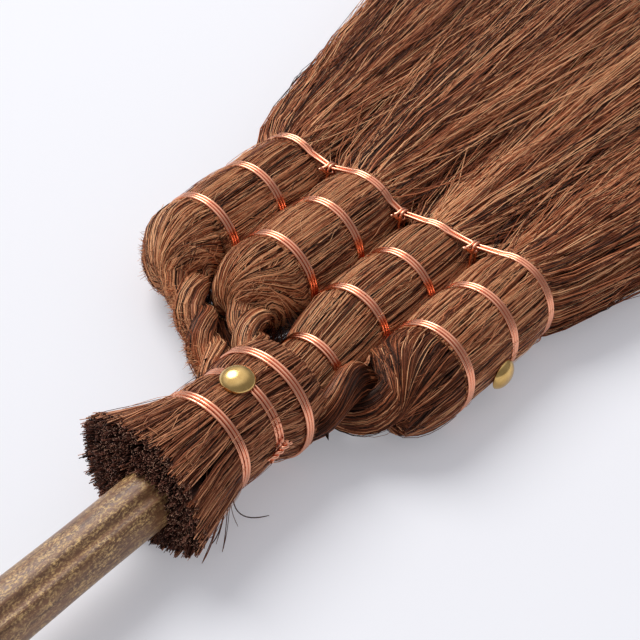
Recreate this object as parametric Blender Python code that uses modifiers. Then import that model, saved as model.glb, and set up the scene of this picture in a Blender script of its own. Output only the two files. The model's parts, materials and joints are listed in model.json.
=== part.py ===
import random
from math import cos, exp, hypot, pi, radians, sin, sqrt

import bmesh
import bpy
from mathutils import Matrix, Vector
from mathutils.geometry import delaunay_2d_cdt

# Palm fibre hand broom, in metres. It lies on a table at z = 0 with its handle along -Y and its bristle
# tips at +Y. Four bundles of palm fibre stand side by side and are bound with copper wire. The third one
# runs straight out of the collar that grips the bamboo handle, and the others reach the collar by a neck.
# The origin is on the table, under the third bundle and under the pin that crosses all four.

# Fit between pieces
CLEARANCE = 0.0003
OVERRUN = 0.004
TABLE_Z = 0.0
SMOOTH_ANGLE = radians(40)

# Copper wire
WIRE_RADIUS = 0.00058
WIRE_PITCH = 0.0017
BAND_TURNS = 3
TIE_TURNS = 2
POINTS_PER_TURN = 14
PIGTAIL_LENGTH = 0.004
PIGTAIL_TURN = radians(55)
pigtail_shares = ((0.50, 0.15), (0.40, 0.60))
TIE_TOP_TURN = radians(51)
TIE_UNDER_TURN = radians(77)

# Bundles, listed from -X to +X
BUNDLE_1_HALF_WIDTH = 0.0174
BUNDLE_1_HALF_HEIGHT = 0.0182
BUNDLE_2_HALF_WIDTH = 0.0178
BUNDLE_2_HALF_HEIGHT = 0.0192
BUNDLE_3_HALF_WIDTH = 0.0162
BUNDLE_3_HALF_HEIGHT = 0.0168
BUNDLE_4_HALF_WIDTH = 0.0172
BUNDLE_4_HALF_HEIGHT = 0.0184
FLATTENING = 0.0010
BODY_SIDES = 20

# Rows across the head, measured from the cross pin
LOWER_BAND_Y = -0.0195
UPPER_BAND_Y = 0.0077
TIE_Y = 0.0312
DOME_START_Y = -0.0255
BAND_RAMP = 0.0020

# Third bundle, between the collar and its lower band
WAIST_BAND_Y = -0.0437
WAIST_HALF_SIZE = 0.0138
ROOT_HALF_WIDTH = 0.0125
ROOT_HALF_HEIGHT = 0.0118
ROOT_SHIFT_X = 0.0030

# Domes that close the first, second and fourth bundle towards the collar
DOME_RINGS = 7
DOME_1_REACH = 0.0125
DOME_2_REACH = 0.0200
DOME_4_REACH = 0.0130
dome_1_end_share = 0.40
dome_2_end_share = 0.35
dome_4_end_share = 0.39
# The rounding runs a little past the mouth, so the dome ends just wider than the rope
dome_rounding_run_share = 1.04
dome_roundness_share = 0.65

# Necks: each a rope of two plies, so its section has two lobes that turn along it
NECK_SIDES = 20
NECK_RINGS = 16
NECK_1_RADIUS = 0.0064
NECK_2_RADIUS = 0.0058
NECK_4_RADIUS = 0.0090
neck_1_lobe_share = 0.33
neck_2_lobe_share = 0.33
neck_4_lobe_share = 0.45
neck_1_narrowing_share = 0.10
neck_2_narrowing_share = 0.06
neck_4_narrowing_share = 0.28
NECK_1_START_TURN = radians(165)
NECK_2_START_TURN = radians(165)
NECK_4_START_TURN = radians(15)
# Length of one full turn of the plies; the fourth neck is twisted the other way
NECK_1_TWIST_PITCH = 0.039
NECK_2_TWIST_PITCH = 0.040
NECK_4_TWIST_PITCH = -0.044
neck_1_pull_shares = (0.44, 0.38)
neck_2_pull_shares = (0.25, 0.38)
neck_4_pull_shares = (0.30, 0.38)
# Where each neck ends inside the collar: across, behind its front and above its axis, by the collar's radius
neck_1_entry_shares = (-0.75, 0.60, 0.00)
neck_2_entry_shares = (-0.42, 0.30, 0.30)
neck_4_entry_shares = (0.45, 0.30, -0.10)

# Collar of fibres round the handle
COLLAR_FRONT_Y = -0.0665
COLLAR_BAND_3_Y = -0.0743
COLLAR_BAND_2_Y = -0.0866
COLLAR_BAND_1_Y = -0.1036
COLLAR_BACK_Y = -0.1165
COLLAR_RADIUS_3 = 0.0201
COLLAR_RADIUS_2 = 0.0174
COLLAR_RADIUS_1 = 0.0181
COLLAR_LIFT_3 = 0.0015
COLLAR_LIFT_2 = 0.0037
COLLAR_LIFT_1 = 0.0049
COLLAR_FRONT_ROUNDING = 0.0030

# Cut end of the collar, where the fibres flare and stand as short stubs
FLARE_HALF_WIDTH = 0.0228
FLARE_HALF_HEIGHT = 0.0196
CUT_HALF_WIDTH = 0.0252
CUT_HALF_HEIGHT = 0.0205
CUT_SHIFT_X = -0.0025
CUT_LIFT = 0.0012
CUT_SLICE = 0.0040
CUT_SLANT = radians(12)
STUB_LENGTH = 0.0036
STUB_CROWN = 0.0055
stub_spread_share = 0.05
STUB_PITCH = 0.0042

# Bamboo handle
HANDLE_RADIUS = 0.0095
HANDLE_AXIS_X = 0.0050
HANDLE_AXIS_Z = 0.0203
HANDLE_INNER_Y = -0.0705
HANDLE_OUTER_Y = -0.3700
HANDLE_CHAMFER = 0.0012
JOINT_RIDGE = 0.0006
JOINT_HALF_WIDTH = 0.0025
JOINT_FROM_END = 0.0140
JOINT_SPACING = 0.1180
HANDLE_STEPS = 24
GROOVE_RADIUS = 0.0060
GROOVE_DEPTH = 0.0007
GROOVE_ANGLE = radians(60)
GROOVE_STOP = 0.0060

# Brass tacks and the bamboo pin that takes the two side tacks
TACK_RADIUS = 0.00575
TACK_HEIGHT = 0.0026
TACK_RIM = 0.0004
SHANK_RADIUS = 0.0008
SHANK_LENGTH = 0.0140
SHANK_POINT = 0.0016
TACK_STEPS = 24
TACK_ARC_STEPS = 5
PIN_RADIUS = 0.0025
PIN_Z = 0.0125
PIN_END_COVER = 0.0040
PIN_SIDES = 12

# Bristles past the tie
BRISTLE_SLICE = 0.0030
BRISTLE_TIP_Y = 0.2860
FAN_LEFT_X = -0.1580
FAN_RIGHT_X = 0.0970
FAN_TIP_BOTTOM_Z = 0.0012
FAN_TIP_TOP_Z = 0.0270
BRISTLE_PITCH = 0.0034
BRISTLE_MARGIN = 0.0004
TIP_STAGGER = 0.0040
fan_early_share = 0.095
fan_early_length_share = 0.03
bend_share = 0.30
bend_thickness_share = 0.72
tip_thickness_share = 0.30
stub_thickness_share = 0.55

# Sizes that follow from the ones above
WIRE_STEP = 2 * pi / POINTS_PER_TURN
SAGITTA = COLLAR_RADIUS_3 * (1 - cos(pi / POINTS_PER_TURN))
WIRE_STANDOFF = CLEARANCE + SAGITTA + WIRE_RADIUS
BAND_DEPTH = WIRE_STANDOFF + WIRE_RADIUS + CLEARANCE
BAND_HALF_SPAN = BAND_TURNS * WIRE_PITCH / 2 + WIRE_RADIUS + CLEARANCE
STITCH_HALF_SPAN = TIE_TURNS * WIRE_PITCH / 2 + 2 * WIRE_RADIUS + CLEARANCE
TIE_HALF_SPAN = STITCH_HALF_SPAN + WIRE_RADIUS + CLEARANCE
STITCH_LEVEL = 2 * WIRE_RADIUS + CLEARANCE
HEAD_END_Y = TIE_Y + TIE_HALF_SPAN + BAND_RAMP / 2
HEAD_END_DEPTH = BAND_DEPTH / 2
UP = Vector((0, 0, 1))
BACKWARD = Vector((0, -1, 0))

PALM_FIBRE = ("palm_fibre", (0.115, 0.045, 0.022), 0.75, 0.0)
CUT_FIBRE = ("cut_fibre", (0.060, 0.024, 0.013), 0.85, 0.0)
COPPER = ("copper_wire", (0.80, 0.38, 0.24), 0.28, 1.0)
BRASS = ("brass", (0.78, 0.62, 0.26), 0.25, 1.0)
BAMBOO = ("speckled_bamboo", (0.22, 0.15, 0.08), 0.45, 0.0)


# Scene and materials

def clear_scene():
    for old in list(bpy.data.objects):
        bpy.data.objects.remove(old, do_unlink=True)


def new_collection(name):
    collection = bpy.data.collections.new(name)
    bpy.context.scene.collection.children.link(collection)
    return collection


def material(finish):
    name, colour, roughness, metallic = finish
    found = bpy.data.materials.get(name)
    if found:
        return found
    made = bpy.data.materials.new(name)
    made.use_nodes = True
    shader = made.node_tree.nodes["Principled BSDF"]
    shader.inputs["Base Color"].default_value = (*colour, 1.0)
    shader.inputs["Roughness"].default_value = roughness
    shader.inputs["Metallic"].default_value = metallic
    return made


def add_object(name, data, finish, collection):
    made = bpy.data.objects.new(name, data)
    made.data.materials.append(material(finish))
    collection.objects.link(made)
    return made


def add_cutter(name, data, collection):
    made = bpy.data.objects.new(name, data)
    made.hide_render = True
    made.display_type = "WIRE"
    collection.objects.link(made)
    return made


def cut(target, cutter):
    modifier = target.modifiers.new("cut_" + cutter.name, "BOOLEAN")
    modifier.operation = "DIFFERENCE"
    modifier.solver = "EXACT"
    modifier.object = cutter


# Solid shapes

def section(centre, direction, half_width, half_height, floor, sides, lobe_height=0.0, turned=0.0):
    # An oval ring, or one with two lobes that stand at the given turn and opposite to it.
    across = Vector((-direction.y, direction.x, 0)).normalized()
    ring = []
    for side in range(sides):
        from_lobe = 2 * pi * side / sides
        angle = from_lobe + turned
        lobe = lobe_height * cos(2 * from_lobe)
        point = centre + across * ((half_width + lobe) * cos(angle))
        point += UP * ((half_height + lobe) * sin(angle))
        point.z = max(point.z, floor)
        ring.append(point)
    return ring


def loft_mesh(name, rings):
    shape = bmesh.new()
    loops = [[shape.verts.new(point) for point in ring] for ring in rings]
    for near, far in zip(loops, loops[1:]):
        for side in range(len(near)):
            following = (side + 1) % len(near)
            shape.faces.new((near[side], near[following], far[following], far[side]))
    shape.faces.new(loops[0])
    shape.faces.new(loops[-1])
    bmesh.ops.recalc_face_normals(shape, faces=shape.faces)
    mesh = bpy.data.meshes.new(name)
    shape.to_mesh(mesh)
    shape.free()
    return mesh


def smooth(mesh):
    mesh.shade_smooth()
    mesh.set_sharp_from_angle(angle=SMOOTH_ANGLE)


def rod_mesh(name, radius, start, end, sides=PIN_SIDES):
    shape = bmesh.new()
    run = end - start
    turn = run.to_track_quat("Z", "Y").to_matrix().to_4x4()
    place = Matrix.Translation((start + end) / 2) @ turn
    bmesh.ops.create_cone(
        shape, cap_ends=True, segments=sides, radius1=radius, radius2=radius, depth=run.length, matrix=place
    )
    mesh = bpy.data.meshes.new(name)
    shape.to_mesh(mesh)
    shape.free()
    return mesh


def turned_object(name, profile, steps, finish, collection):
    mesh = bpy.data.meshes.new(name)
    edges = [(point, point + 1) for point in range(len(profile) - 1)]
    mesh.from_pydata([(radius, 0, height) for radius, height in profile], edges, [])
    made = add_object(name, mesh, finish, collection)
    turn = made.modifiers.new("turn", "SCREW")
    turn.axis = "Z"
    turn.angle = 2 * pi
    turn.steps = steps
    turn.render_steps = steps
    turn.use_merge_vertices = True
    turn.merge_threshold = 0.00001
    turn.use_smooth_shade = True
    return made


def wire_object(name, points, collection):
    curve = bpy.data.curves.new(name, "CURVE")
    curve.dimensions = "3D"
    curve.bevel_depth = WIRE_RADIUS
    curve.bevel_resolution = 0
    curve.use_fill_caps = True
    spline = curve.splines.new("POLY")
    spline.points.add(len(points) - 1)
    for target, point in zip(spline.points, points):
        target.co = (*point, 1.0)
    return add_object(name, curve, COPPER, collection)


def least_gap(points, points_per_turn):
    skipped = points_per_turn // 2
    nearest = min(
        (points[first] - points[second]).length
        for first in range(len(points))
        for second in range(first + skipped, len(points))
    )
    return nearest - 2 * WIRE_RADIUS


# Bundles: where each stands and how its spine runs into the collar

def bundle_table():
    rows = [
        {"number": 1, "half_width": BUNDLE_1_HALF_WIDTH, "half_height": BUNDLE_1_HALF_HEIGHT,
         "entry": neck_1_entry_shares, "pull": neck_1_pull_shares,
         "reach": DOME_1_REACH, "dome_end": dome_1_end_share,
         "neck_radius": NECK_1_RADIUS, "lobe": neck_1_lobe_share, "narrowing": neck_1_narrowing_share,
         "turned": NECK_1_START_TURN, "pitch": NECK_1_TWIST_PITCH},
        {"number": 2, "half_width": BUNDLE_2_HALF_WIDTH, "half_height": BUNDLE_2_HALF_HEIGHT,
         "entry": neck_2_entry_shares, "pull": neck_2_pull_shares,
         "reach": DOME_2_REACH, "dome_end": dome_2_end_share,
         "neck_radius": NECK_2_RADIUS, "lobe": neck_2_lobe_share, "narrowing": neck_2_narrowing_share,
         "turned": NECK_2_START_TURN, "pitch": NECK_2_TWIST_PITCH},
        {"number": 3, "half_width": BUNDLE_3_HALF_WIDTH, "half_height": BUNDLE_3_HALF_HEIGHT},
        {"number": 4, "half_width": BUNDLE_4_HALF_WIDTH, "half_height": BUNDLE_4_HALF_HEIGHT,
         "entry": neck_4_entry_shares, "pull": neck_4_pull_shares,
         "reach": DOME_4_REACH, "dome_end": dome_4_end_share,
         "neck_radius": NECK_4_RADIUS, "lobe": neck_4_lobe_share, "narrowing": neck_4_narrowing_share,
         "turned": NECK_4_START_TURN, "pitch": NECK_4_TWIST_PITCH},
    ]
    rows[2]["x"] = 0.0
    rows[1]["x"] = -(BUNDLE_3_HALF_WIDTH + CLEARANCE + BUNDLE_2_HALF_WIDTH)
    rows[0]["x"] = rows[1]["x"] - (BUNDLE_2_HALF_WIDTH + CLEARANCE + BUNDLE_1_HALF_WIDTH)
    rows[3]["x"] = BUNDLE_3_HALF_WIDTH + CLEARANCE + BUNDLE_4_HALF_WIDTH
    for row in rows:
        row["z"] = TABLE_Z + row["half_height"] - FLATTENING
    return rows


def collar_centre(y, lift):
    return Vector((HANDLE_AXIS_X, y, HANDLE_AXIS_Z + lift))


def spine(bundle):
    start = Vector((bundle["x"], DOME_START_Y, bundle["z"]))
    across, behind, above = (COLLAR_RADIUS_3 * share for share in bundle["entry"])
    end = collar_centre(COLLAR_FRONT_Y - behind, COLLAR_LIFT_3 + above) + Vector((across, 0, 0))
    first = start - Vector((0, bundle["reach"], 0))
    pull_x, pull_y = bundle["pull"]
    second = Vector((end.x + (start.x - end.x) * pull_x, end.y + (start.y - end.y) * pull_y, end.z))
    return start, first, second, end


def along_spine(spine_points, share):
    start, first, second, end = spine_points
    rest = 1 - share
    place = start * rest**3 + first * (3 * rest**2 * share)
    place += second * (3 * rest * share**2) + end * share**3
    heading = (first - start) * rest**2 + (second - first) * (2 * rest * share)
    heading += (end - second) * share**2
    heading.z = 0
    return place, heading.normalized()


def dome_size(bundle, body_size, share):
    shrink = cos(pi / 2 * share / (bundle["dome_end"] * dome_rounding_run_share)) ** dome_roundness_share
    return bundle["neck_radius"] + (body_size - bundle["neck_radius"]) * shrink


def neck_size(bundle, share):
    along_neck = (share - bundle["dome_end"]) / (1 - bundle["dome_end"])
    return bundle["neck_radius"] * (1 - bundle["narrowing"] * along_neck)


def groove_steps(half_span, grow):
    # A grown copy stands for the space that a piece and its windings take, so its grooves are filled.
    depth = 0.0 if grow else BAND_DEPTH
    far = half_span + BAND_RAMP
    return [(far, 0.0), (half_span, depth), (-half_span, depth), (-far, 0.0)]


def head_rings(bundle, grow):
    # The end that the bristles leave, the tie's groove and the two band grooves of every bundle.
    depth = HEAD_END_DEPTH - grow
    centre = Vector((bundle["x"], HEAD_END_Y + grow, bundle["z"]))
    rings = [section(
        centre, BACKWARD, bundle["half_width"] - depth, bundle["half_height"] - depth,
        TABLE_Z + depth, BODY_SIDES,
    )]
    rings += banded_rings(bundle, [(TIE_Y, TIE_HALF_SPAN)], grow)[1:]
    rings += banded_rings(bundle, [(UPPER_BAND_Y, BAND_HALF_SPAN), (LOWER_BAND_Y, BAND_HALF_SPAN)], grow)
    return rings


def banded_rings(bundle, bands, grow):
    rings = []
    for band_y, half_span in bands:
        for offset, depth in groove_steps(half_span, grow):
            centre = Vector((bundle["x"], band_y + offset, bundle["z"]))
            rings.append(section(
                centre, BACKWARD, bundle["half_width"] - depth + grow, bundle["half_height"] - depth + grow,
                TABLE_Z + depth - grow, BODY_SIDES,
            ))
    return rings


def domed_rings(bundle, grow=0.0):
    rings = head_rings(bundle, grow)
    path = spine(bundle)
    for step in range(1, DOME_RINGS + 1):
        share = bundle["dome_end"] * step / DOME_RINGS
        centre, heading = along_spine(path, share)
        rings.append(section(
            centre, heading, dome_size(bundle, bundle["half_width"], share) + grow,
            dome_size(bundle, bundle["half_height"], share) + grow, TABLE_Z - grow, BODY_SIDES,
        ))
    return rings


def waist_row(bundle):
    shifted = dict(bundle)
    shifted.update(x=ROOT_SHIFT_X / 2, z=TABLE_Z + WAIST_HALF_SIZE - FLATTENING,
                   half_width=WAIST_HALF_SIZE, half_height=WAIST_HALF_SIZE)
    return shifted


def straight_rings(bundle, grow=0.0):
    rings = head_rings(bundle, grow)
    rings += banded_rings(waist_row(bundle), [(WAIST_BAND_Y, BAND_HALF_SPAN)], grow)
    root = Vector((ROOT_SHIFT_X, COLLAR_FRONT_Y + CLEARANCE - grow, TABLE_Z + ROOT_HALF_HEIGHT - FLATTENING))
    rings.append(section(
        root, BACKWARD, ROOT_HALF_WIDTH + grow, ROOT_HALF_HEIGHT + grow, TABLE_Z - grow, BODY_SIDES,
    ))
    return rings


def neck_rings(bundle, grow=0.0):
    path = spine(bundle)
    mouth = along_spine(path, bundle["dome_end"])[0]
    length = (mouth - along_spine(path, 1.0)[0]).length
    first_share = bundle["dome_end"] + (CLEARANCE - grow) / length
    run = 0.0
    last_centre = mouth
    rings = []
    for ring in range(NECK_RINGS + 1):
        share = first_share + (1 - first_share) * ring / NECK_RINGS
        centre, heading = along_spine(path, share)
        run += (centre - last_centre).length
        last_centre = centre
        size = neck_size(bundle, share)
        rings.append(section(
            centre, heading, size + grow, size + grow, TABLE_Z, NECK_SIDES,
            size * bundle["lobe"], bundle["turned"] + 2 * pi * run / bundle["pitch"],
        ))
    return rings


# Collar round the handle

def collar_bands():
    return [
        (COLLAR_BAND_3_Y, COLLAR_LIFT_3, COLLAR_RADIUS_3),
        (COLLAR_BAND_2_Y, COLLAR_LIFT_2, COLLAR_RADIUS_2),
        (COLLAR_BAND_1_Y, COLLAR_LIFT_1, COLLAR_RADIUS_1),
    ]


def collar_rings(grow=0.0):
    size = COLLAR_RADIUS_3 - COLLAR_FRONT_ROUNDING + grow
    centre = collar_centre(COLLAR_FRONT_Y + grow, COLLAR_LIFT_3)
    rings = [section(centre, BACKWARD, size, size, TABLE_Z, BODY_SIDES)]
    for band_y, lift, radius in collar_bands():
        for offset, depth in groove_steps(BAND_HALF_SPAN, grow):
            size = radius - depth + grow
            centre = collar_centre(band_y + offset, lift)
            rings.append(section(centre, BACKWARD, size, size, TABLE_Z, BODY_SIDES))
    centre = collar_centre(COLLAR_BACK_Y - grow, CUT_LIFT) + Vector((CUT_SHIFT_X, 0, 0))
    rings.append(section(
        centre, BACKWARD, FLARE_HALF_WIDTH + grow, FLARE_HALF_HEIGHT + grow, TABLE_Z, BODY_SIDES,
    ))
    return rings


# Bristles: a slice of backing whose end face is drawn out strand by strand

def lattice_triangles(pitch, half_span, inside):
    rise = pitch * sqrt(3) / 2
    reach = int(half_span / rise) + 2
    triangles = []
    for row in range(-reach, reach):
        for column in range(-2 * reach, 2 * reach):
            left = Vector((pitch * (column + row / 2), rise * row))
            corners = [left, left + Vector((pitch, 0)), left + Vector((pitch / 2, rise))]
            if all(inside(corner) for corner in corners):
                triangles.append(corners)
    return triangles


def bristle_mesh(name, rim, hole, triangles, on_back, on_front, strand_rings):
    points = [Vector(point) for point in rim + hole]
    edges = []
    for corners in triangles:
        first = len(points)
        points += corners
        edges += [(first, first + 1), (first + 1, first + 2), (first + 2, first)]
    flat, _, cells, _, _, _ = delaunay_2d_cdt(points, edges, [], 0, CLEARANCE / 100)
    middles = [sum(corners, Vector((0, 0))) / 3 for corners in triangles]
    shape = bmesh.new()
    front = [shape.verts.new(on_front(point)) for point in flat]
    back = [shape.verts.new(on_back(point)) for point in flat]
    hole_reach = max((Vector(point).length for point in hole), default=0.0)
    roots = []
    border = {}
    for cell in cells:
        middle = sum((flat[corner] for corner in cell), Vector((0, 0))) / len(cell)
        if middle.length < hole_reach * cos(pi / max(len(hole), 3)):
            continue
        face = shape.faces.new([front[corner] for corner in cell])
        shape.faces.new([back[corner] for corner in reversed(cell)])
        if any((middle - known).length < CLEARANCE / 10 for known in middles):
            roots.append((face, middle))
        for start, end in zip(cell, cell[1:] + cell[:1]):
            if (end, start) in border:
                del border[(end, start)]
            else:
                border[(start, end)] = True
    for start, end in border:
        shape.faces.new((front[end], front[start], back[start], back[end]))
    for loose in [vert for vert in shape.verts if not vert.link_faces]:
        shape.verts.remove(loose)
    bmesh.ops.recalc_face_normals(shape, faces=shape.faces)
    for root, middle in roots:
        corners = [vert.co.copy() for vert in root.verts]
        centre = sum(corners, Vector()) / len(corners)
        face = root
        for place, thickness in strand_rings(middle):
            face = bmesh.ops.extrude_discrete_faces(shape, faces=[face])["faces"][0]
            now = face.calc_center_median()
            scale = thickness * (corners[0] - centre).length / (face.verts[0].co - now).length
            for vert in face.verts:
                vert.co = place + (vert.co - now) * scale
    mesh = bpy.data.meshes.new(name)
    shape.to_mesh(mesh)
    shape.free()
    return mesh, len(roots)


def fan_share(share):
    early = fan_early_share * (1 - exp(-share / fan_early_length_share))
    return early + (1 - fan_early_share) * share


def fan_bristles(bundle, bundles, collection, chance):
    row_left = bundles[0]["x"] - bundles[0]["half_width"]
    row_right = bundles[-1]["x"] + bundles[-1]["half_width"]
    row_top = 2 * max(each["half_height"] for each in bundles)
    back_y = HEAD_END_Y + CLEARANCE
    front_y = back_y + BRISTLE_SLICE
    centre = Vector((bundle["x"], back_y, bundle["z"]))
    half_width = bundle["half_width"] - HEAD_END_DEPTH
    half_height = bundle["half_height"] - HEAD_END_DEPTH
    floor = TABLE_Z + HEAD_END_DEPTH
    ring = section(centre, BACKWARD, half_width, half_height, floor, BODY_SIDES)
    rim = [(point.x - centre.x, point.z - centre.z) for point in ring]

    def inside(point):
        wide = point.x / (half_width - BRISTLE_MARGIN)
        high = point.y / (half_height - BRISTLE_MARGIN)
        return hypot(wide, high) < cos(pi / BODY_SIDES) and point.y + centre.z > floor + BRISTLE_MARGIN

    triangles = lattice_triangles(BRISTLE_PITCH, max(half_width, half_height), inside)
    reach = BRISTLE_PITCH / 2 + max(abs(sum(corner.x for corner in corners) / 3) for corners in triangles)

    def strand_rings(point):
        # The strands are spread across the whole bundle, so that the fan has no gaps between bundles.
        base = Vector((centre.x + point.x / reach * bundle["half_width"], front_y, centre.z + point.y))
        across = (base.x - row_left) / (row_right - row_left)
        above = (base.z - TABLE_Z) / row_top
        tip = Vector((
            FAN_LEFT_X + (FAN_RIGHT_X - FAN_LEFT_X) * across,
            BRISTLE_TIP_Y + TIP_STAGGER * chance.uniform(-1, 1),
            FAN_TIP_BOTTOM_Z + (FAN_TIP_TOP_Z - FAN_TIP_BOTTOM_Z) * above,
        ))
        spread = fan_share(bend_share)
        bend = Vector((
            base.x + (tip.x - base.x) * spread, front_y + (tip.y - front_y) * bend_share,
            base.z + (tip.z - base.z) * bend_share,
        ))
        return [(bend, bend_thickness_share), (tip, tip_thickness_share)]

    name = f"bristles_{bundle['number']}"
    mesh, count = bristle_mesh(
        name, rim, [], triangles,
        lambda point: (centre.x + point.x, back_y, centre.z + point.y),
        lambda point: (centre.x + point.x, front_y, centre.z + point.y), strand_rings,
    )
    add_object(name, mesh, PALM_FIBRE, collection)
    return count


def cut_end_stubs(collection, chance):
    # Flat places are measured from the handle's axis, because the bore stays round it as the rim widens.
    back_y = COLLAR_BACK_Y - CLEARANCE
    front_y = back_y - CUT_SLICE
    bore_circle = (HANDLE_RADIUS + CLEARANCE) / cos(pi / BODY_SIDES)
    shift = Vector((CUT_SHIFT_X, CUT_LIFT))
    angles = [2 * pi * side / BODY_SIDES for side in range(BODY_SIDES)]
    unit = [Vector((cos(angle), sin(angle))) for angle in angles]
    rim = [Vector((CUT_HALF_WIDTH * place.x, CUT_HALF_HEIGHT * place.y)) + shift for place in unit]
    hole = [place * bore_circle for place in unit]

    def outward(point):
        return hypot((point.x - shift.x) / CUT_HALF_WIDTH, (point.y - shift.y) / CUT_HALF_HEIGHT)

    def inside(point):
        margin = 1 - BRISTLE_MARGIN / CUT_HALF_HEIGHT
        clear = point.length > bore_circle + BRISTLE_MARGIN
        return clear and outward(point) < margin * cos(pi / BODY_SIDES)

    def on_back(point):
        rim_share = min(1.0, max(0.0, (point.length - bore_circle) / (CUT_HALF_HEIGHT - bore_circle)))
        narrow = 1 - (1 - FLARE_HALF_WIDTH / CUT_HALF_WIDTH) * rim_share
        low = 1 - (1 - FLARE_HALF_HEIGHT / CUT_HALF_HEIGHT) * rim_share
        return HANDLE_AXIS_X + point.x * narrow, back_y, HANDLE_AXIS_Z + point.y * low

    def strand_rings(point):
        stagger = STUB_LENGTH / 8 * chance.uniform(-1, 1)
        length = STUB_LENGTH + STUB_CROWN * (1 - outward(point) ** 2)
        length -= (point.y - shift.y) * sin(CUT_SLANT)
        tip_y = front_y - max(length, STUB_LENGTH / 2) + stagger
        tip_x = HANDLE_AXIS_X + point.x * (1 + stub_spread_share)
        return [(Vector((tip_x, tip_y, HANDLE_AXIS_Z + point.y)), stub_thickness_share)]

    triangles = lattice_triangles(STUB_PITCH, CUT_HALF_WIDTH + shift.length, inside)
    mesh, count = bristle_mesh(
        "cut_end_stubs", rim, hole, triangles, on_back,
        lambda point: (HANDLE_AXIS_X + point.x, front_y, HANDLE_AXIS_Z + point.y), strand_rings,
    )
    add_object("cut_end_stubs", mesh, CUT_FIBRE, collection)
    return count


# Windings

def band_points(centre, half_width, half_height, further=0):
    # The winding starts and ends underneath, or runs on for a few points further.
    points = []
    inset = BAND_DEPTH - WIRE_STANDOFF
    for step in range(BAND_TURNS * POINTS_PER_TURN + 1 + further):
        angle = WIRE_STEP * step - pi / 2
        along = WIRE_PITCH * (step / POINTS_PER_TURN - BAND_TURNS / 2)
        height = max(centre.z + (half_height - inset) * sin(angle), TABLE_Z + inset)
        points.append(Vector((centre.x + (half_width - inset) * cos(angle), centre.y + along, height)))
    return points


def add_band(name, points, collection):
    wire_object(name, points, collection)
    print(f"{name}: least gap {least_gap(points, POINTS_PER_TURN) * 1000:.2f} mm")


def bundle_windings(bundles, collection):
    for bundle in bundles:
        rows = [(bundle, LOWER_BAND_Y), (bundle, UPPER_BAND_Y)]
        if bundle["number"] == 3:
            rows.insert(0, (waist_row(bundle), WAIST_BAND_Y))
        for count, (row, y) in enumerate(rows, 1):
            points = band_points(Vector((row["x"], y, row["z"])), row["half_width"], row["half_height"])
            add_band(f"bundle_{bundle['number']}_band_{count}", points, collection)


def collar_windings(collection):
    for number, (y, lift, radius) in zip((3, 2, 1), collar_bands()):
        centre = collar_centre(y, lift)
        if number == 2:
            points = band_points(centre, radius, radius, round(PIGTAIL_TURN / WIRE_STEP))
            points = with_pigtail(points, centre)
        else:
            points = band_points(centre, radius, radius)
        add_band(f"collar_band_{number}", points, collection)


def with_pigtail(points, centre):
    # The band's last end is turned up off the fibres, at the lower right of the collar.
    outward = points[-1] - centre
    outward.y = 0
    outward.normalize()
    turned_up = list(points)
    for lift_share, run_share in pigtail_shares:
        turned_up.append(turned_up[-1] + (outward * lift_share - BACKWARD * run_share) * PIGTAIL_LENGTH)
    return turned_up


def valley_places(bundles):
    return [
        (left["x"] + left["half_width"] + right["x"] - right["half_width"]) / 2
        for left, right in zip(bundles, bundles[1:])
    ]


def tie_outline(bundles):
    # One loop round all four bundles, clockwise from the left side, dipping a little between them.
    # Beside a neighbour the loop leaves a bundle before it reaches the bundle's side.
    inset = BAND_DEPTH - WIRE_STANDOFF
    half_turn = POINTS_PER_TURN // 2
    top_stop = round(TIE_TOP_TURN / WIRE_STEP)
    under_stop = round(TIE_UNDER_TURN / WIRE_STEP)
    valleys = valley_places(bundles)
    right_most = len(bundles) - 1

    def on_bundle(bundle, angle):
        height = bundle["z"] + (bundle["half_height"] - inset) * sin(angle)
        return bundle["x"] + (bundle["half_width"] - inset) * cos(angle), max(height, TABLE_Z + inset)

    over = []
    for place, bundle in enumerate(bundles):
        first = half_turn if place == 0 else half_turn - top_stop
        last = 0 if place == right_most else top_stop
        arc = [on_bundle(bundle, WIRE_STEP * count) for count in range(first, last - 1, -1)]
        if place > 0:
            over.append((valleys[place - 1], (over[-1][1] + arc[0][1]) / 2 - STITCH_LEVEL))
        over += arc
    under = []
    for place in range(right_most, -1, -1):
        first = 1 if place == right_most else under_stop
        last = half_turn - 1 if place == 0 else half_turn - under_stop
        under += [on_bundle(bundles[place], -WIRE_STEP * count) for count in range(first, last + 1)]
        if place > 0:
            under.append((valleys[place - 1], TABLE_Z + inset + STITCH_LEVEL))
    return over + under


def row_tie(bundles, collection):
    outline = tie_outline(bundles)
    points = []
    for step in range(TIE_TURNS * len(outline) + 1):
        x, z = outline[step % len(outline)]
        points.append(Vector((x, TIE_Y + WIRE_PITCH * (step / len(outline) - TIE_TURNS / 2), z)))
    wire_object("row_tie", points, collection)
    print(f"row_tie: least gap {least_gap(points, len(outline)) * 1000:.2f} mm")
    return outline


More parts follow.
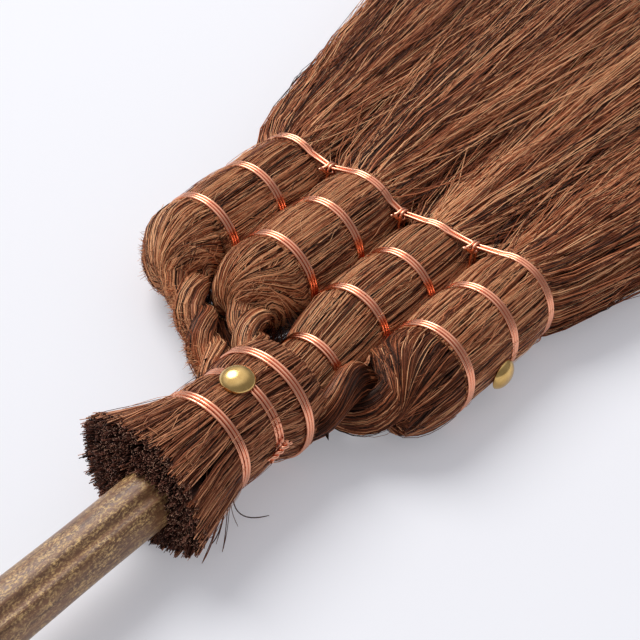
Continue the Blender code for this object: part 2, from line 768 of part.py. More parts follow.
def tie_stitches(bundles, outline, collection):
    # Each stitch goes round the tie above and below one valley and ends in two short tails on top.
    for number, x in enumerate(valley_places(bundles), 1):
        heights = [z for place, z in outline if abs(place - x) < WIRE_RADIUS]
        top = max(heights) + STITCH_LEVEL
        bottom = min(heights) - STITCH_LEVEL
        side = WIRE_PITCH / 2
        half = STITCH_HALF_SPAN
        corner = half - WIRE_RADIUS
        route = [
            (-side, 0, top + PIGTAIL_LENGTH), (-side, 0, top + 2 * WIRE_RADIUS), (-side, -corner, top),
            (-side, -half, top - WIRE_RADIUS), (-side, -half, bottom + WIRE_RADIUS),
            (-side, -corner, bottom),
            (0, corner, bottom), (side / 2, half, bottom + WIRE_RADIUS), (side, half, top - WIRE_RADIUS),
            (side, corner, top), (side, 0, top + 2 * WIRE_RADIUS), (side, 0, top + PIGTAIL_LENGTH),
        ]
        points = [Vector((x + across, TIE_Y + along, height)) for across, along, height in route]
        wire_object(f"tie_stitch_{number}", points, collection)
        print(f"tie_stitch_{number}: least gap {least_gap(points, len(points)) * 1000:.2f} mm")


# Handle, pin and tacks

def bamboo_handle(collection, cutters):
    length = HANDLE_INNER_Y - HANDLE_OUTER_Y
    covered = HANDLE_INNER_Y - COLLAR_BACK_Y + CUT_SLICE + STUB_LENGTH + STUB_CROWN
    joints = []
    joint = length - JOINT_FROM_END
    while joint > covered + JOINT_HALF_WIDTH:
        joints.append(joint)
        joint -= JOINT_SPACING
    end_radius = HANDLE_RADIUS - HANDLE_CHAMFER
    profile = [(0, length), (end_radius, length), (HANDLE_RADIUS, length - HANDLE_CHAMFER)]
    for joint in joints:
        profile += [
            (HANDLE_RADIUS, joint + JOINT_HALF_WIDTH),
            (HANDLE_RADIUS + JOINT_RIDGE, joint + JOINT_HALF_WIDTH / 3),
            (HANDLE_RADIUS + JOINT_RIDGE / 3, joint),
            (HANDLE_RADIUS + JOINT_RIDGE, joint - JOINT_HALF_WIDTH / 3),
            (HANDLE_RADIUS, joint - JOINT_HALF_WIDTH),
        ]
    profile += [(HANDLE_RADIUS, HANDLE_CHAMFER), (end_radius, 0), (0, 0)]
    handle = turned_object("bamboo_handle", profile, HANDLE_STEPS, BAMBOO, collection)
    handle.location = (HANDLE_AXIS_X, HANDLE_INNER_Y, HANDLE_AXIS_Z)
    handle.rotation_euler = (pi / 2, 0, 0)
    # A shallow groove runs along each length between joints, on opposite sides by turns.
    ends = joints + [0.0]
    for count, (far, near) in enumerate(zip(ends, ends[1:])):
        angle = GROOVE_ANGLE + pi * ((len(joints) - 1 - count) % 2)
        reach = HANDLE_RADIUS + GROOVE_RADIUS - GROOVE_DEPTH
        x = HANDLE_AXIS_X + reach * cos(angle)
        z = HANDLE_AXIS_Z + reach * sin(angle)
        start = HANDLE_INNER_Y - near - (GROOVE_STOP if near else GROOVE_STOP * 2)
        end = HANDLE_INNER_Y - far + GROOVE_STOP
        name = f"branch_groove_{count + 1}"
        groove = rod_mesh(name, GROOVE_RADIUS, Vector((x, start, z)), Vector((x, end, z)), HANDLE_STEPS)
        cut(handle, add_cutter(name, groove, cutters))
    return handle


def brass_tack(name, seat, direction, collection):
    bow = (TACK_RADIUS**2 + (TACK_HEIGHT - TACK_RIM) ** 2) / (2 * (TACK_HEIGHT - TACK_RIM))
    profile = [(0, TACK_HEIGHT)]
    for step in range(1, TACK_ARC_STEPS):
        radius = TACK_RADIUS * step / TACK_ARC_STEPS
        profile.append((radius, TACK_HEIGHT - bow + sqrt(bow**2 - radius**2)))
    profile += [
        (TACK_RADIUS, TACK_RIM), (TACK_RADIUS - TACK_RIM / 2, 0), (SHANK_RADIUS, 0),
        (SHANK_RADIUS, SHANK_POINT - SHANK_LENGTH), (0, -SHANK_LENGTH),
    ]
    tack = turned_object(name, profile, TACK_STEPS, BRASS, collection)
    tack.location = seat
    tack.rotation_euler = direction.to_track_quat("Z", "Y").to_euler()
    return tack


def tack_bore(name, seat, direction, cutters):
    start = seat + direction * OVERRUN
    end = seat - direction * (SHANK_LENGTH + CLEARANCE)
    return add_cutter(name, rod_mesh(name, SHANK_RADIUS + CLEARANCE, start, end), cutters)


def grown_space(name, rings, cutters):
    return add_cutter(name, loft_mesh(name, rings), cutters)


def side_seat(bundle, sign):
    return Vector((bundle["x"] + sign * (bundle["half_width"] + CLEARANCE), 0, TABLE_Z + PIN_Z))


def build():
    clear_scene()
    parts = new_collection("palm_broom")
    cutters = new_collection("cutters")
    chance = random.Random(4)
    bundles = bundle_table()

    handle = bamboo_handle(parts, cutters)

    collar = add_object("collar_fibres", loft_mesh("collar_fibres", collar_rings()), PALM_FIBRE, parts)
    smooth(collar.data)
    bore = rod_mesh(
        "handle_bore", (HANDLE_RADIUS + CLEARANCE) / cos(pi / HANDLE_STEPS),
        Vector((HANDLE_AXIS_X, HANDLE_INNER_Y + CLEARANCE, HANDLE_AXIS_Z)),
        Vector((HANDLE_AXIS_X, COLLAR_BACK_Y - OVERRUN, HANDLE_AXIS_Z)), HANDLE_STEPS,
    )
    cut(collar, add_cutter("handle_bore", bore, cutters))
    stub_count = cut_end_stubs(parts, chance)

    grown_collar = grown_space("collar_space", collar_rings(CLEARANCE), cutters)
    grown_third = grown_space("third_bundle_space", straight_rings(bundles[2], CLEARANCE), cutters)
    grown_second = grown_space("second_bundle_space", domed_rings(bundles[1], CLEARANCE), cutters)
    grown_neck = grown_space("second_neck_space", neck_rings(bundles[1], 2 * CLEARANCE), cutters)
    # A domed bundle leans on its neighbour, which presses it flat there.
    pressed_by = {1: grown_second, 2: grown_third, 4: grown_third}
    bundle_objects = []
    strands = stub_count
    for bundle in bundles:
        name = f"bundle_{bundle['number']}"
        rings = straight_rings(bundle) if bundle["number"] == 3 else domed_rings(bundle)
        made = add_object(name, loft_mesh(name, rings), PALM_FIBRE, parts)
        smooth(made.data)
        bundle_objects.append(made)
        strands += fan_bristles(bundle, bundles, parts, chance)
        if bundle["number"] not in pressed_by:
            continue
        cut(made, pressed_by[bundle["number"]])
        neck_name = f"neck_{bundle['number']}"
        neck = add_object(neck_name, loft_mesh(neck_name, neck_rings(bundle)), PALM_FIBRE, parts)
        smooth(neck.data)
        cut(neck, grown_collar)
        cut(neck, grown_third)
        if bundle["number"] == 1:
            cut(neck, grown_second)
            cut(neck, grown_neck)

    bundle_windings(bundles, parts)
    collar_windings(parts)
    outline = row_tie(bundles, parts)
    tie_stitches(bundles, outline, parts)

    left, right = bundles[0], bundles[-1]
    pin_start = Vector((left["x"] - left["half_width"] + PIN_END_COVER, 0, TABLE_Z + PIN_Z))
    pin_end = Vector((right["x"] + right["half_width"] - PIN_END_COVER, 0, TABLE_Z + PIN_Z))
    pin = add_object("cross_pin", rod_mesh("cross_pin", PIN_RADIUS, pin_start, pin_end), BAMBOO, parts)
    reach = Vector((CLEARANCE, 0, 0))
    pin_bore = add_cutter(
        "pin_bore", rod_mesh("pin_bore", PIN_RADIUS + CLEARANCE, pin_start - reach, pin_end + reach), cutters
    )
    for made in bundle_objects:
        cut(made, pin_bore)

    for name, bundle, target, sign in (
        ("side_tack_left", left, bundle_objects[0], -1), ("side_tack_right", right, bundle_objects[-1], 1),
    ):
        direction = Vector((sign, 0, 0))
        seat = side_seat(bundle, sign)
        brass_tack(name, seat, direction, parts)
        tack_hole = tack_bore(name + "_bore", seat, direction, cutters)
        cut(target, tack_hole)
        cut(pin, tack_hole)

    # The collar's tack stands just behind the middle band, with its head over the wires.
    band_top = collar_centre(COLLAR_BAND_2_Y, COLLAR_LIFT_2).z + COLLAR_RADIUS_2 - CLEARANCE
    tack_y = COLLAR_BAND_2_Y - BAND_HALF_SPAN - SHANK_RADIUS
    seat = Vector((HANDLE_AXIS_X, tack_y, band_top + CLEARANCE))
    brass_tack("collar_tack", seat, UP, parts)
    collar_hole = tack_bore("collar_tack_bore", seat, UP, cutters)
    cut(collar, collar_hole)
    cut(handle, collar_hole)
    head_top = seat + UP * (TACK_HEIGHT + OVERRUN)
    head_space = rod_mesh(
        "tack_head_space", TACK_RADIUS + CLEARANCE, seat - UP * CLEARANCE, head_top, HANDLE_STEPS
    )
    cut(collar, add_cutter("tack_head_space", head_space, cutters))
    print(f"strands: {strands}")


build()
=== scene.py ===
import json
import math
from functools import partial

import bmesh
import bpy
import numpy as np
from mathutils import Matrix, Vector

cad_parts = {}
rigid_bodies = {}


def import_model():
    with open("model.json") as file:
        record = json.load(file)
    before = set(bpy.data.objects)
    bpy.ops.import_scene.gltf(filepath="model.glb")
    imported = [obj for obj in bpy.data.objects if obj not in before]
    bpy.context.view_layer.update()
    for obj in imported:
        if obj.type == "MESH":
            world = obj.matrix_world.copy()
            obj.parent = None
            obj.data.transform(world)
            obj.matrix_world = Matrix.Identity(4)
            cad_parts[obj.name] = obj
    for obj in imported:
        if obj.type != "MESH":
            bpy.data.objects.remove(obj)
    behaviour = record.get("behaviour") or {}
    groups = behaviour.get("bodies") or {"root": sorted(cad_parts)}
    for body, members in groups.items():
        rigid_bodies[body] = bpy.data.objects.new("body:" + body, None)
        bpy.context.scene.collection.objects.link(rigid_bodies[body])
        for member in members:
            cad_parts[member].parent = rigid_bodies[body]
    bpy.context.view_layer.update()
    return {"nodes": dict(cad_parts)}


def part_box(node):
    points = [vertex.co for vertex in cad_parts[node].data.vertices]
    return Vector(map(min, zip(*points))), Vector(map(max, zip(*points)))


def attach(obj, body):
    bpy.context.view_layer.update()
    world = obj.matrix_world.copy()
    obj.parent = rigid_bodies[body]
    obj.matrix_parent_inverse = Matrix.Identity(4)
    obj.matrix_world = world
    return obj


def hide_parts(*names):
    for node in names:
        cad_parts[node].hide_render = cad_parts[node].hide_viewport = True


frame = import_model()
mm = 0.001
up = np.array((0, 0, 1.0))

# where the part's own solids stand, in metres, as in its CAD
broom = {
    "tableZ": 0.0,
    "handleX": 0.0050,
    "handleZ": 0.0203,
    "handleRadius": 0.0095,
    "tieY": 0.0312,
    "upperBandY": 0.0077,
    "lowerBandY": -0.0195,
    "waistBandY": -0.0437,
    "domeStartY": -0.0255,
    "collarFrontY": -0.0665,
    "flattening": 0.0010,
    "tipY": 0.2860,
    "fanLeftX": -0.1580,
    "fanRightX": 0.0970,
    "fanBottomZ": 0.0012,
    "fanTopZ": 0.0270,
}

# domed bundles: half sizes, how far the dome reaches, where the neck ends in the collar
bundles = {
    1: {"halfWidth": 0.0174, "halfHeight": 0.0182, "reach": 0.0125, "pull": (0.44, 0.38), "domeEnd": 0.40,
        "entry": (-0.75, 0.60, 0.00), "fold": 148, "plyTurn": 165, "plyPitch": 0.039,
        "plyRadius": (0.0052, 0.0046), "plyOffset": (0.0032, 0.0026),
        "ropeTone": 0.71, "ropeSpread": 0.36, "fanTone": 0.55, "seed": 21},
    2: {"halfWidth": 0.0178, "halfHeight": 0.0192, "reach": 0.0200, "pull": (0.25, 0.38), "domeEnd": 0.35,
        "entry": (-0.42, 0.30, 0.30), "fold": 138, "plyTurn": 165, "plyPitch": 0.040,
        "plyRadius": (0.0047, 0.0044), "plyOffset": (0.0029, 0.0025),
        "ropeTone": 0.75, "ropeSpread": 0.36, "fanTone": 0.52, "seed": 22},
    3: {"halfWidth": 0.0162, "halfHeight": 0.0168, "fanTone": 0.49, "seed": 23},
    # bundle 4's rope has a low tone and spread: painted shade on its dome and rope, on the side away from the lamp
    4: {"halfWidth": 0.0172, "halfHeight": 0.0184, "reach": 0.0130, "pull": (0.30, 0.38), "domeEnd": 0.39,
        "entry": (0.45, 0.30, -0.10), "fold": None, "plyTurn": 165, "plyPitch": 0.044, "mirrored": True,
        "plyRadius": (0.0074, 0.0056), "plyOffset": (0.0058, 0.0042),
        "ropeTone": 0.42, "ropeSpread": 0.24, "fanTone": 0.46, "seed": 24},
}
gap = 0.0003
bundles[3]["x"] = 0.0
bundles[2]["x"] = -(bundles[3]["halfWidth"] + gap + bundles[2]["halfWidth"])
bundles[1]["x"] = bundles[2]["x"] - (bundles[2]["halfWidth"] + gap + bundles[1]["halfWidth"])
bundles[4]["x"] = bundles[3]["halfWidth"] + gap + bundles[4]["halfWidth"]
for bundle in bundles.values():
    bundle["z"] = broom["tableZ"] + bundle["halfHeight"] - broom["flattening"]

waist = {"halfSize": 0.0138, "shiftX": 0.0015, "rootWidth": 0.0125, "rootHeight": 0.0118, "rootShiftX": 0.0030}
collar = {
    "bandY": (-0.0743, -0.0866, -0.1036),
    "bandRadius": (0.0201, 0.0174, 0.0181),
    "bandLift": (0.0015, 0.0037, 0.0049),
    "mouthY": (broom["collarFrontY"], -0.060),
    "mouthRadius": (0.0188, 0.0165),
    "mouthLift": (0.0015, 0.0015),
}
# the cut rim, going round: degrees, how far it stands out, how far back it was cut
rim = {
    "x": 0.0020,
    "z": 0.0210,
    "halfWidth": 0.0262,
    "halfHeight": 0.0202,
    "turn": (-180, -154, -120, -80, -50, -20, 10, 35, 60, 95, 125, 150, 168, 180),
    "out": (1.06, 1.00, 1.00, 0.98, 1.00, 1.02, 1.00, 1.00, 1.00, 1.00, 1.03, 1.13, 1.12, 1.06),
    "cutY": (-0.1237, -0.1262, -0.1278, -0.1282, -0.1278, -0.1290, -0.1298, -0.1284, -0.1268,
             -0.1240, -0.1234, -0.1215, -0.1225, -0.1237),
    "middleY": -0.1300,
}
wire = {"radius": 0.00061, "pitch": 0.00133, "turns": 3, "sink": 0.0009, "wobble": 0.00005,
        "startAngle": -95, "steps": 56}
fibre = {"radius": 0.000125, "spread": 0.00006}
nearTable = broom["tableZ"] + 0.0003


# shader groups

def newGroup(name, inputs, outputs):
    group = bpy.data.node_groups.new(name, "ShaderNodeTree")
    for label, kind, value in inputs:
        socket = group.interface.new_socket(label, in_out="INPUT", socket_type=kind)
        socket.default_value = value
    for label, kind in outputs:
        group.interface.new_socket(label, in_out="OUTPUT", socket_type=kind)
    return group, group.nodes.new("NodeGroupInput"), group.nodes.new("NodeGroupOutput")


def join(tree, source, target):
    tree.links.new(source, target)


def mathNode(tree, operation, first, second=None, clamp=False):
    node = tree.nodes.new("ShaderNodeMath")
    node.operation = operation
    node.use_clamp = clamp
    for socket, value in zip(node.inputs, (first, second)):
        if value is None:
            continue
        if isinstance(value, (int, float)):
            socket.default_value = value
        else:
            join(tree, value, socket)
    return node.outputs[0]


def mixColour(tree, share, first, second):
    node = tree.nodes.new("ShaderNodeMix")
    node.data_type = "RGBA"
    for socket, value in ((node.inputs["Factor"], share), (node.inputs[6], first), (node.inputs[7], second)):
        if isinstance(value, (int, float, tuple)):
            socket.default_value = value
        else:
            join(tree, value, socket)
    return node.outputs[2]


def noiseNode(tree, vector, scale, detail=2.0, roughness=0.5):
    node = tree.nodes.new("ShaderNodeTexNoise")
    node.inputs["Scale"].default_value = scale
    node.inputs["Detail"].default_value = detail
    node.inputs["Roughness"].default_value = roughness
    join(tree, vector, node.inputs["Vector"])
    return node.outputs["Fac"]


def rampNode(tree, value, stops):
    node = tree.nodes.new("ShaderNodeValToRGB")
    ramp = node.color_ramp
    while len(ramp.elements) < len(stops):
        ramp.elements.new(0.5)
    for element, (place, colour) in zip(ramp.elements, stops):
        element.position = place
        element.color = (*colour, 1.0)
    join(tree, value, node.inputs["Fac"])
    return node.outputs["Color"]


def objectPlace(tree):
    return tree.nodes.new("ShaderNodeTexCoord").outputs["Object"]


def stretched(tree, place, alongY):
    node = tree.nodes.new("ShaderNodeMapping")
    node.inputs["Scale"].default_value = (1.0, alongY, 1.0)
    join(tree, place, node.inputs["Vector"])
    return node.outputs["Vector"]


def maskNode(tree, value, floor, gain):
    above = mathNode(tree, "SUBTRACT", value, floor, clamp=True)
    return mathNode(tree, "MULTIPLY", above, gain, clamp=True)


def groupNoises(group, enter, sizes, detail):
    # one noise for each size that the group takes
    place = objectPlace(group)
    for size in sizes:
        noise = group.nodes.new("ShaderNodeTexNoise")
        noise.inputs["Detail"].default_value = detail
        join(group, place, noise.inputs["Vector"])
        join(group, enter.outputs[size], noise.inputs["Scale"])
        yield noise.outputs["Fac"]


def shiftTone():
    # a strand's own tone, varied slowly over the broom and quickly along the strand
    group, enter, leave = newGroup(
        "shiftTone",
        [("Tone", "NodeSocketFloat", 0.5), ("Patch Size", "NodeSocketFloat", 60.0),
         ("Patch Share", "NodeSocketFloat", 0.3), ("Fleck Size", "NodeSocketFloat", 420.0),
         ("Fleck Share", "NodeSocketFloat", 0.25)],
        [("Tone", "NodeSocketFloat")],
    )
    total = enter.outputs["Tone"]
    noises = groupNoises(group, enter, ("Patch Size", "Fleck Size"), 2.0)
    for noise, share in zip(noises, ("Patch Share", "Fleck Share")):
        centred = mathNode(group, "SUBTRACT", noise, 0.5)
        total = mathNode(group, "ADD", total, mathNode(group, "MULTIPLY", centred, enter.outputs[share]))
    join(group, mathNode(group, "ADD", total, 0.0, clamp=True), leave.inputs["Tone"])
    return group


def scratches():
    # fine marks and a slow unevenness, for metal
    group, enter, leave = newGroup(
        "scratches",
        [("Size", "NodeSocketFloat", 900.0), ("Slow Size", "NodeSocketFloat", 90.0)],
        [("Fine", "NodeSocketFloat"), ("Slow", "NodeSocketFloat")],
    )
    for noise, label in zip(groupNoises(group, enter, ("Size", "Slow Size"), 3.0), ("Fine", "Slow")):
        join(group, noise, leave.inputs[label])
    return group


toneGroup = shiftTone()
scratchGroup = scratches()


def newMaterial(name, roughness, metallic=0.0, specular=0.5):
    made = bpy.data.materials.new(name)
    made.use_nodes = True
    shader = made.node_tree.nodes["Principled BSDF"]
    shader.inputs["Roughness"].default_value = roughness
    shader.inputs["Metallic"].default_value = metallic
    shader.inputs["Specular IOR Level"].default_value = specular
    return made, made.node_tree, shader


def placeGroup(tree, group, values):
    node = tree.nodes.new("ShaderNodeGroup")
    node.node_tree = group
    for label, value in values.items():
        node.inputs[label].default_value = value
    return node


def bump(tree, shader, height, strength, distance):
    node = tree.nodes.new("ShaderNodeBump")
    node.inputs["Strength"].default_value = strength
    node.inputs["Distance"].default_value = distance
    join(tree, height, node.inputs["Height"])
    join(tree, node.outputs["Normal"], shader.inputs["Normal"])


def varyRoughness(tree, shader, value, share, base):
    rough = mathNode(tree, "MULTIPLY_ADD", value, share)
    rough.node.inputs[2].default_value = base
    join(tree, rough, shader.inputs["Roughness"])


palmLook = {
    "dark": (0.022, 0.0060, 0.0032),
    "brown": (0.240, 0.060, 0.0220),
    "warm": (0.620, 0.208, 0.088),
    "straw": (0.960, 0.500, 0.250),
    "roughness": 0.42,
}


def fibreMaterial(name, look, patchShare=0.35):
    made, tree, shader = newMaterial(name, look["roughness"], specular=0.28)
    shader.inputs["Specular Tint"].default_value = (1.0, 0.80, 0.66, 1)
    tone = tree.nodes.new("ShaderNodeAttribute")
    tone.attribute_name = "tone"
    shifted = placeGroup(tree, toneGroup, {"Patch Share": patchShare})
    join(tree, tone.outputs["Fac"], shifted.inputs["Tone"])
    colour = rampNode(tree, shifted.outputs["Tone"], [
        (0.10, look["dark"]), (0.44, look["brown"]), (0.73, look["warm"]), (0.97, look["straw"]),
    ])
    join(tree, colour, shader.inputs["Base Color"])
    varyRoughness(tree, shader, shifted.outputs["Tone"], -0.12, look["roughness"] + 0.06)
    return made


palmFibre = fibreMaterial("palmFibre", palmLook)
# the collar's fibre: a darker copy of the palm fibre's colours, painted shade over the whole collar
collarFibre = fibreMaterial("collarFibre", {
    "dark": (0.018, 0.0048, 0.0026), "brown": (0.160, 0.040, 0.0160), "warm": (0.430, 0.135, 0.058),
    "straw": (0.820, 0.380, 0.190), "roughness": 0.45,
})
# the cut end's fibre: darker still, painted shade for the sides of the stubs in the cut face
litAndShadedCutFibre = fibreMaterial("litAndShadedCutFibre", {
    "dark": (0.016, 0.0070, 0.0060), "brown": (0.070, 0.0255, 0.0185), "warm": (0.330, 0.125, 0.082),
    "straw": (0.640, 0.370, 0.240), "roughness": 0.55,
})


def coreMaterial():
    # what is seen between the strands: streaks as if of more strands, deeper and darker, as painted shade inside the
    # bundle
    made, tree, shader = newMaterial("innerFibreShade", 0.85, specular=0.2)
    streaks = noiseNode(tree, stretched(tree, objectPlace(tree), 0.06), 1500.0)
    colour = rampNode(tree, streaks, [(0.35, (0.010, 0.004, 0.003)), (0.7, (0.080, 0.026, 0.013))])
    join(tree, colour, shader.inputs["Base Color"])
    bump(tree, shader, streaks, 0.8, 0.0006)
    return made


innerFibreShade = coreMaterial()

copperLook = {"colour": (0.93, 0.46, 0.29), "deep": (0.80, 0.32, 0.19), "roughness": 0.20,
              "marks": {"Size": 1400.0, "Slow Size": 120.0}, "wear": "Fine", "wearShare": 0.16, "bump": (0.15, 0.0001)}
brassLook = {"colour": (0.88, 0.59, 0.23), "deep": (0.42, 0.25, 0.07), "roughness": 0.12,
             "marks": {"Size": 2600.0, "Slow Size": 330.0}, "wear": "Slow", "wearShare": 0.25, "bump": (0.12, 0.0004)}


def metalMaterial(name, look):
    made, tree, shader = newMaterial(name, look["roughness"], metallic=1.0)
    marks = placeGroup(tree, scratchGroup, look["marks"])
    colour = mixColour(tree, marks.outputs["Slow"], (*look["deep"], 1), (*look["colour"], 1))
    join(tree, colour, shader.inputs["Base Color"])
    wear = marks.outputs[look["wear"]]
    varyRoughness(tree, shader, wear, look["wearShare"], look["roughness"] - 0.06)
    bump(tree, shader, wear, *look["bump"])
    return made


copperWire = metalMaterial("copperWire", copperLook)
brassTack = metalMaterial("brassTack", brassLook)

bambooLook = {
    "skin": (0.275, 0.128, 0.060),
    "dark": (0.112, 0.044, 0.019),
    "fleck": (0.800, 0.510, 0.205),
    "roughness": 0.32,
    "clusterSize": 210.0,
    "fleckSize": 1500.0,
    "grainSize": 700.0,
}


def bambooMaterial():
    # brown skin under clusters of small yellow flecks
    made, tree, shader = newMaterial("speckledBamboo", bambooLook["roughness"], specular=0.60)
    place = objectPlace(tree)
    along = stretched(tree, place, 0.45)
    clusters = noiseNode(tree, along, bambooLook["clusterSize"])
    flecks = noiseNode(tree, along, bambooLook["fleckSize"], 5.0, 0.80)
    lines = noiseNode(tree, stretched(tree, place, 0.03), bambooLook["grainSize"], 3.0, 0.6)
    base = rampNode(tree, lines, [(0.34, bambooLook["dark"]), (0.66, bambooLook["skin"])])
    mask = mathNode(tree, "MULTIPLY", maskNode(tree, flecks, 0.48, 8.0), maskNode(tree, clusters, 0.30, 3.4))
    join(tree, mixColour(tree, mask, base, (*bambooLook["fleck"], 1)), shader.inputs["Base Color"])
    varyRoughness(tree, shader, flecks, 0.20, bambooLook["roughness"] - 0.08)
    bump(tree, shader, mask, 0.20, 0.0002)
    return made


speckledBamboo = bambooMaterial()
print("materials made")


# strands: curves drawn with a small three sided profile

profiles = {}


def linked(name, data):
    made = bpy.data.objects.new(name, data)
    bpy.context.scene.collection.objects.link(made)
    return made


def curveMesh(curve):
    drawn = linked(curve.name, curve)
    mesh = bpy.data.meshes.new_from_object(drawn.evaluated_get(bpy.context.evaluated_depsgraph_get()))
    bpy.data.objects.remove(drawn, do_unlink=True)
    bpy.data.curves.remove(curve)
    return mesh


def meshFrom(name, shape):
    mesh = bpy.data.meshes.new(name)
    shape.to_mesh(mesh)
    shape.free()
    return mesh


def strandProfile(sides):
    if sides not in profiles:
        shape = bpy.data.curves.new(f"strandProfile{sides}", "CURVE")
        shape.dimensions = "2D"
        spline = shape.splines.new("POLY")
        spline.points.add(sides - 1)
        for number, point in enumerate(spline.points):
            angle = 2 * math.pi * number / sides
            point.co = (math.cos(angle), math.sin(angle), 0, 1)
        spline.use_cyclic_u = True
        profiles[sides] = linked(shape.name, shape)
    return profiles[sides]


def strandMesh(name, lines, radii, tones, sides=3, endTone=None):
    # lines is strands x points x 3, radii strands x points, tones one for each strand
    count, points = lines.shape[:2]
    curve = bpy.data.curves.new(name, "CURVE")
    curve.dimensions = "3D"
    curve.bevel_mode = "OBJECT"
    curve.bevel_object = strandProfile(sides)
    curve.use_fill_caps = True
    places = np.concatenate([lines, np.ones((count, points, 1))], axis=2).astype(np.float32)
    radii = np.broadcast_to(radii, (count, points)).astype(np.float32)
    for number in range(count):
        spline = curve.splines.new("POLY")
        spline.points.add(points - 1)
        spline.points.foreach_set("co", places[number].ravel())
        spline.points.foreach_set("radius", np.ascontiguousarray(radii[number]))
    mesh = curveMesh(curve)
    # the ends come first, from the last strand to the first, and then each strand from start to end
    tones = np.asarray(tones, dtype=np.float32)
    ends = tones[::-1] if endTone is None else np.asarray(endTone, dtype=np.float32)[::-1]
    values = np.concatenate([np.repeat(ends, 2 * sides), np.repeat(tones, points * sides)])
    mesh.attributes.new("tone", "FLOAT", "POINT").data.foreach_set("value", values)
    mesh.shade_smooth()
    return mesh


def addPiece(name, mesh, node):
    piece = linked(name, mesh)
    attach(piece, "root")
    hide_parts(node)


def joinMeshes(name, meshes, materials, node):
    # one piece out of several meshes; each mesh takes the material at its own place in the list
    whole = bmesh.new()
    for number, mesh in enumerate(meshes):
        before = len(whole.faces)
        whole.from_mesh(mesh)
        whole.faces.ensure_lookup_table()
        for face in whole.faces[before:]:
            face.material_index = number
        bpy.data.meshes.remove(mesh)
    made = meshFrom(name, whole)
    for material in materials:
        made.materials.append(material)
    addPiece(name, made, node)


def wander(random, count, share, size, waves):
    # slow sideways drift, its own for each strand
    drift = np.zeros((count, len(share)))
    for wave in waves:
        phase = random.uniform(0, 2 * math.pi, (count, 1))
        drift += random.normal(0, size, (count, 1)) * np.sin(2 * math.pi * wave * share[None, :] + phase)
    return drift


def clumped(random, angles, clumps, pull):
    # angles drawn part of the way to the middle of their clump
    centres = np.sort(random.uniform(0, 2 * math.pi, clumps))
    nearest = np.abs(((angles[:, None] - centres[None, :]) + math.pi) % (2 * math.pi) - math.pi).argmin(axis=1)
    away = ((angles - centres[nearest]) + math.pi) % (2 * math.pi) - math.pi
    return angles - away * pull, nearest


# the forms that the strands lie on

def bezier(stops, share):
    first, second, third, last = stops
    rest = 1 - share
    return first * rest**3 + second * 3 * rest**2 * share + third * 3 * rest * share**2 + last * share**3


def spine(bundle):
    start = np.array((bundle["x"], broom["domeStartY"], bundle["z"]))
    across, behind, above = (collar["bandRadius"][0] * share for share in bundle["entry"])
    end = np.array((
        broom["handleX"] + across, broom["collarFrontY"] - behind, broom["handleZ"] + collar["bandLift"][0] + above,
    ))
    first = start - np.array((0, bundle["reach"], 0))
    pullX, pullY = bundle["pull"]
    second = np.array((end[0] + (start[0] - end[0]) * pullX, end[1] + (start[1] - end[1]) * pullY, end[2]))
    return start, first, second, end


def alongSpine(bundle, share):
    start, first, second, end = spine(bundle)
    share = np.asarray(share, dtype=float)[..., None]
    rest = 1 - share
    place = bezier((start, first, second, end), share)
    heading = (first - start) * rest**2 + (second - first) * 2 * rest * share + (end - second) * share**2
    heading[..., 2] *= 0.0
    heading /= np.linalg.norm(heading, axis=-1, keepdims=True)
    return place, heading


def across(heading):
    side = np.zeros_like(heading)
    side[..., 0] = -heading[..., 1]
    side[..., 1] = heading[..., 0]
    return side


def cinch(y, bands, depth, reach=0.0021):
    drop = np.zeros_like(y)
    for band in bands:
        drop = np.maximum(drop, depth * np.exp(-((y - band) / reach) ** 2))
    return drop


def onFloor(points, floor):
    points[..., 2] = np.maximum(points[..., 2], floor)
    return points


def layRound(middleX, middleZ, wide, high, y, turn, drop, depth):
    # on an ellipse, drop below its skin; the deeper ones keep their order where the broom lies flat
    points = np.stack([middleX + (wide - drop) * np.cos(turn), y, middleZ + (high - drop) * np.sin(turn)], axis=-1)
    return onFloor(points, nearTable + np.clip(depth, 0, 0.003))


def ropeCourse(bundle, share):
    # along the spine: centre, sideways direction, turn of the first ply, size and offset of the plies
    centre, heading = alongSpine(bundle, np.clip(share, 0, 1))
    centre[:, 1] -= np.minimum(share, 0) * 0.1
    side = across(heading) * (-1 if bundle.get("mirrored") else 1)
    fine = np.linspace(bundle["domeEnd"], 1, 60)
    steps = np.linalg.norm(np.diff(alongSpine(bundle, fine)[0], axis=0), axis=1)
    run = np.interp(share, fine, np.concatenate([[0], np.cumsum(steps)]))
    turned = math.radians(bundle["plyTurn"]) + 2 * math.pi * run / bundle["plyPitch"]
    later = np.clip((share - bundle["domeEnd"]) / (1 - bundle["domeEnd"]), 0, 1)
    size, offset = (pair[0] + (pair[1] - pair[0]) * later for pair in (bundle["plyRadius"], bundle["plyOffset"]))
    return centre, side, turned, size, offset


foldLook = {"rise": 0.0009, "riseOver": 26, "dive": 0.0030, "diveOver": 16}


def foldDepth(turn, fold):
    # one lay of fibres passes over the next, which dives under its edge
    away = np.degrees(turn) - fold
    rise = -foldLook["rise"] * np.exp(away / foldLook["riseOver"])
    return np.where(away < 0, rise, foldLook["dive"] * np.exp(-away / foldLook["diveOver"]))


def chordAngle(turn, swing, along, near):
    # the turn of a fibre that runs straight across the end of a dome, from its rim to a place near the mouth
    bent = np.minimum(swing, math.radians(domeTurn["swing"]))
    across = (1 - along) + along * near * np.cos(bent)
    over = along * near * np.sin(bent)
    return turn + np.arctan2(over, across) * swing / bent


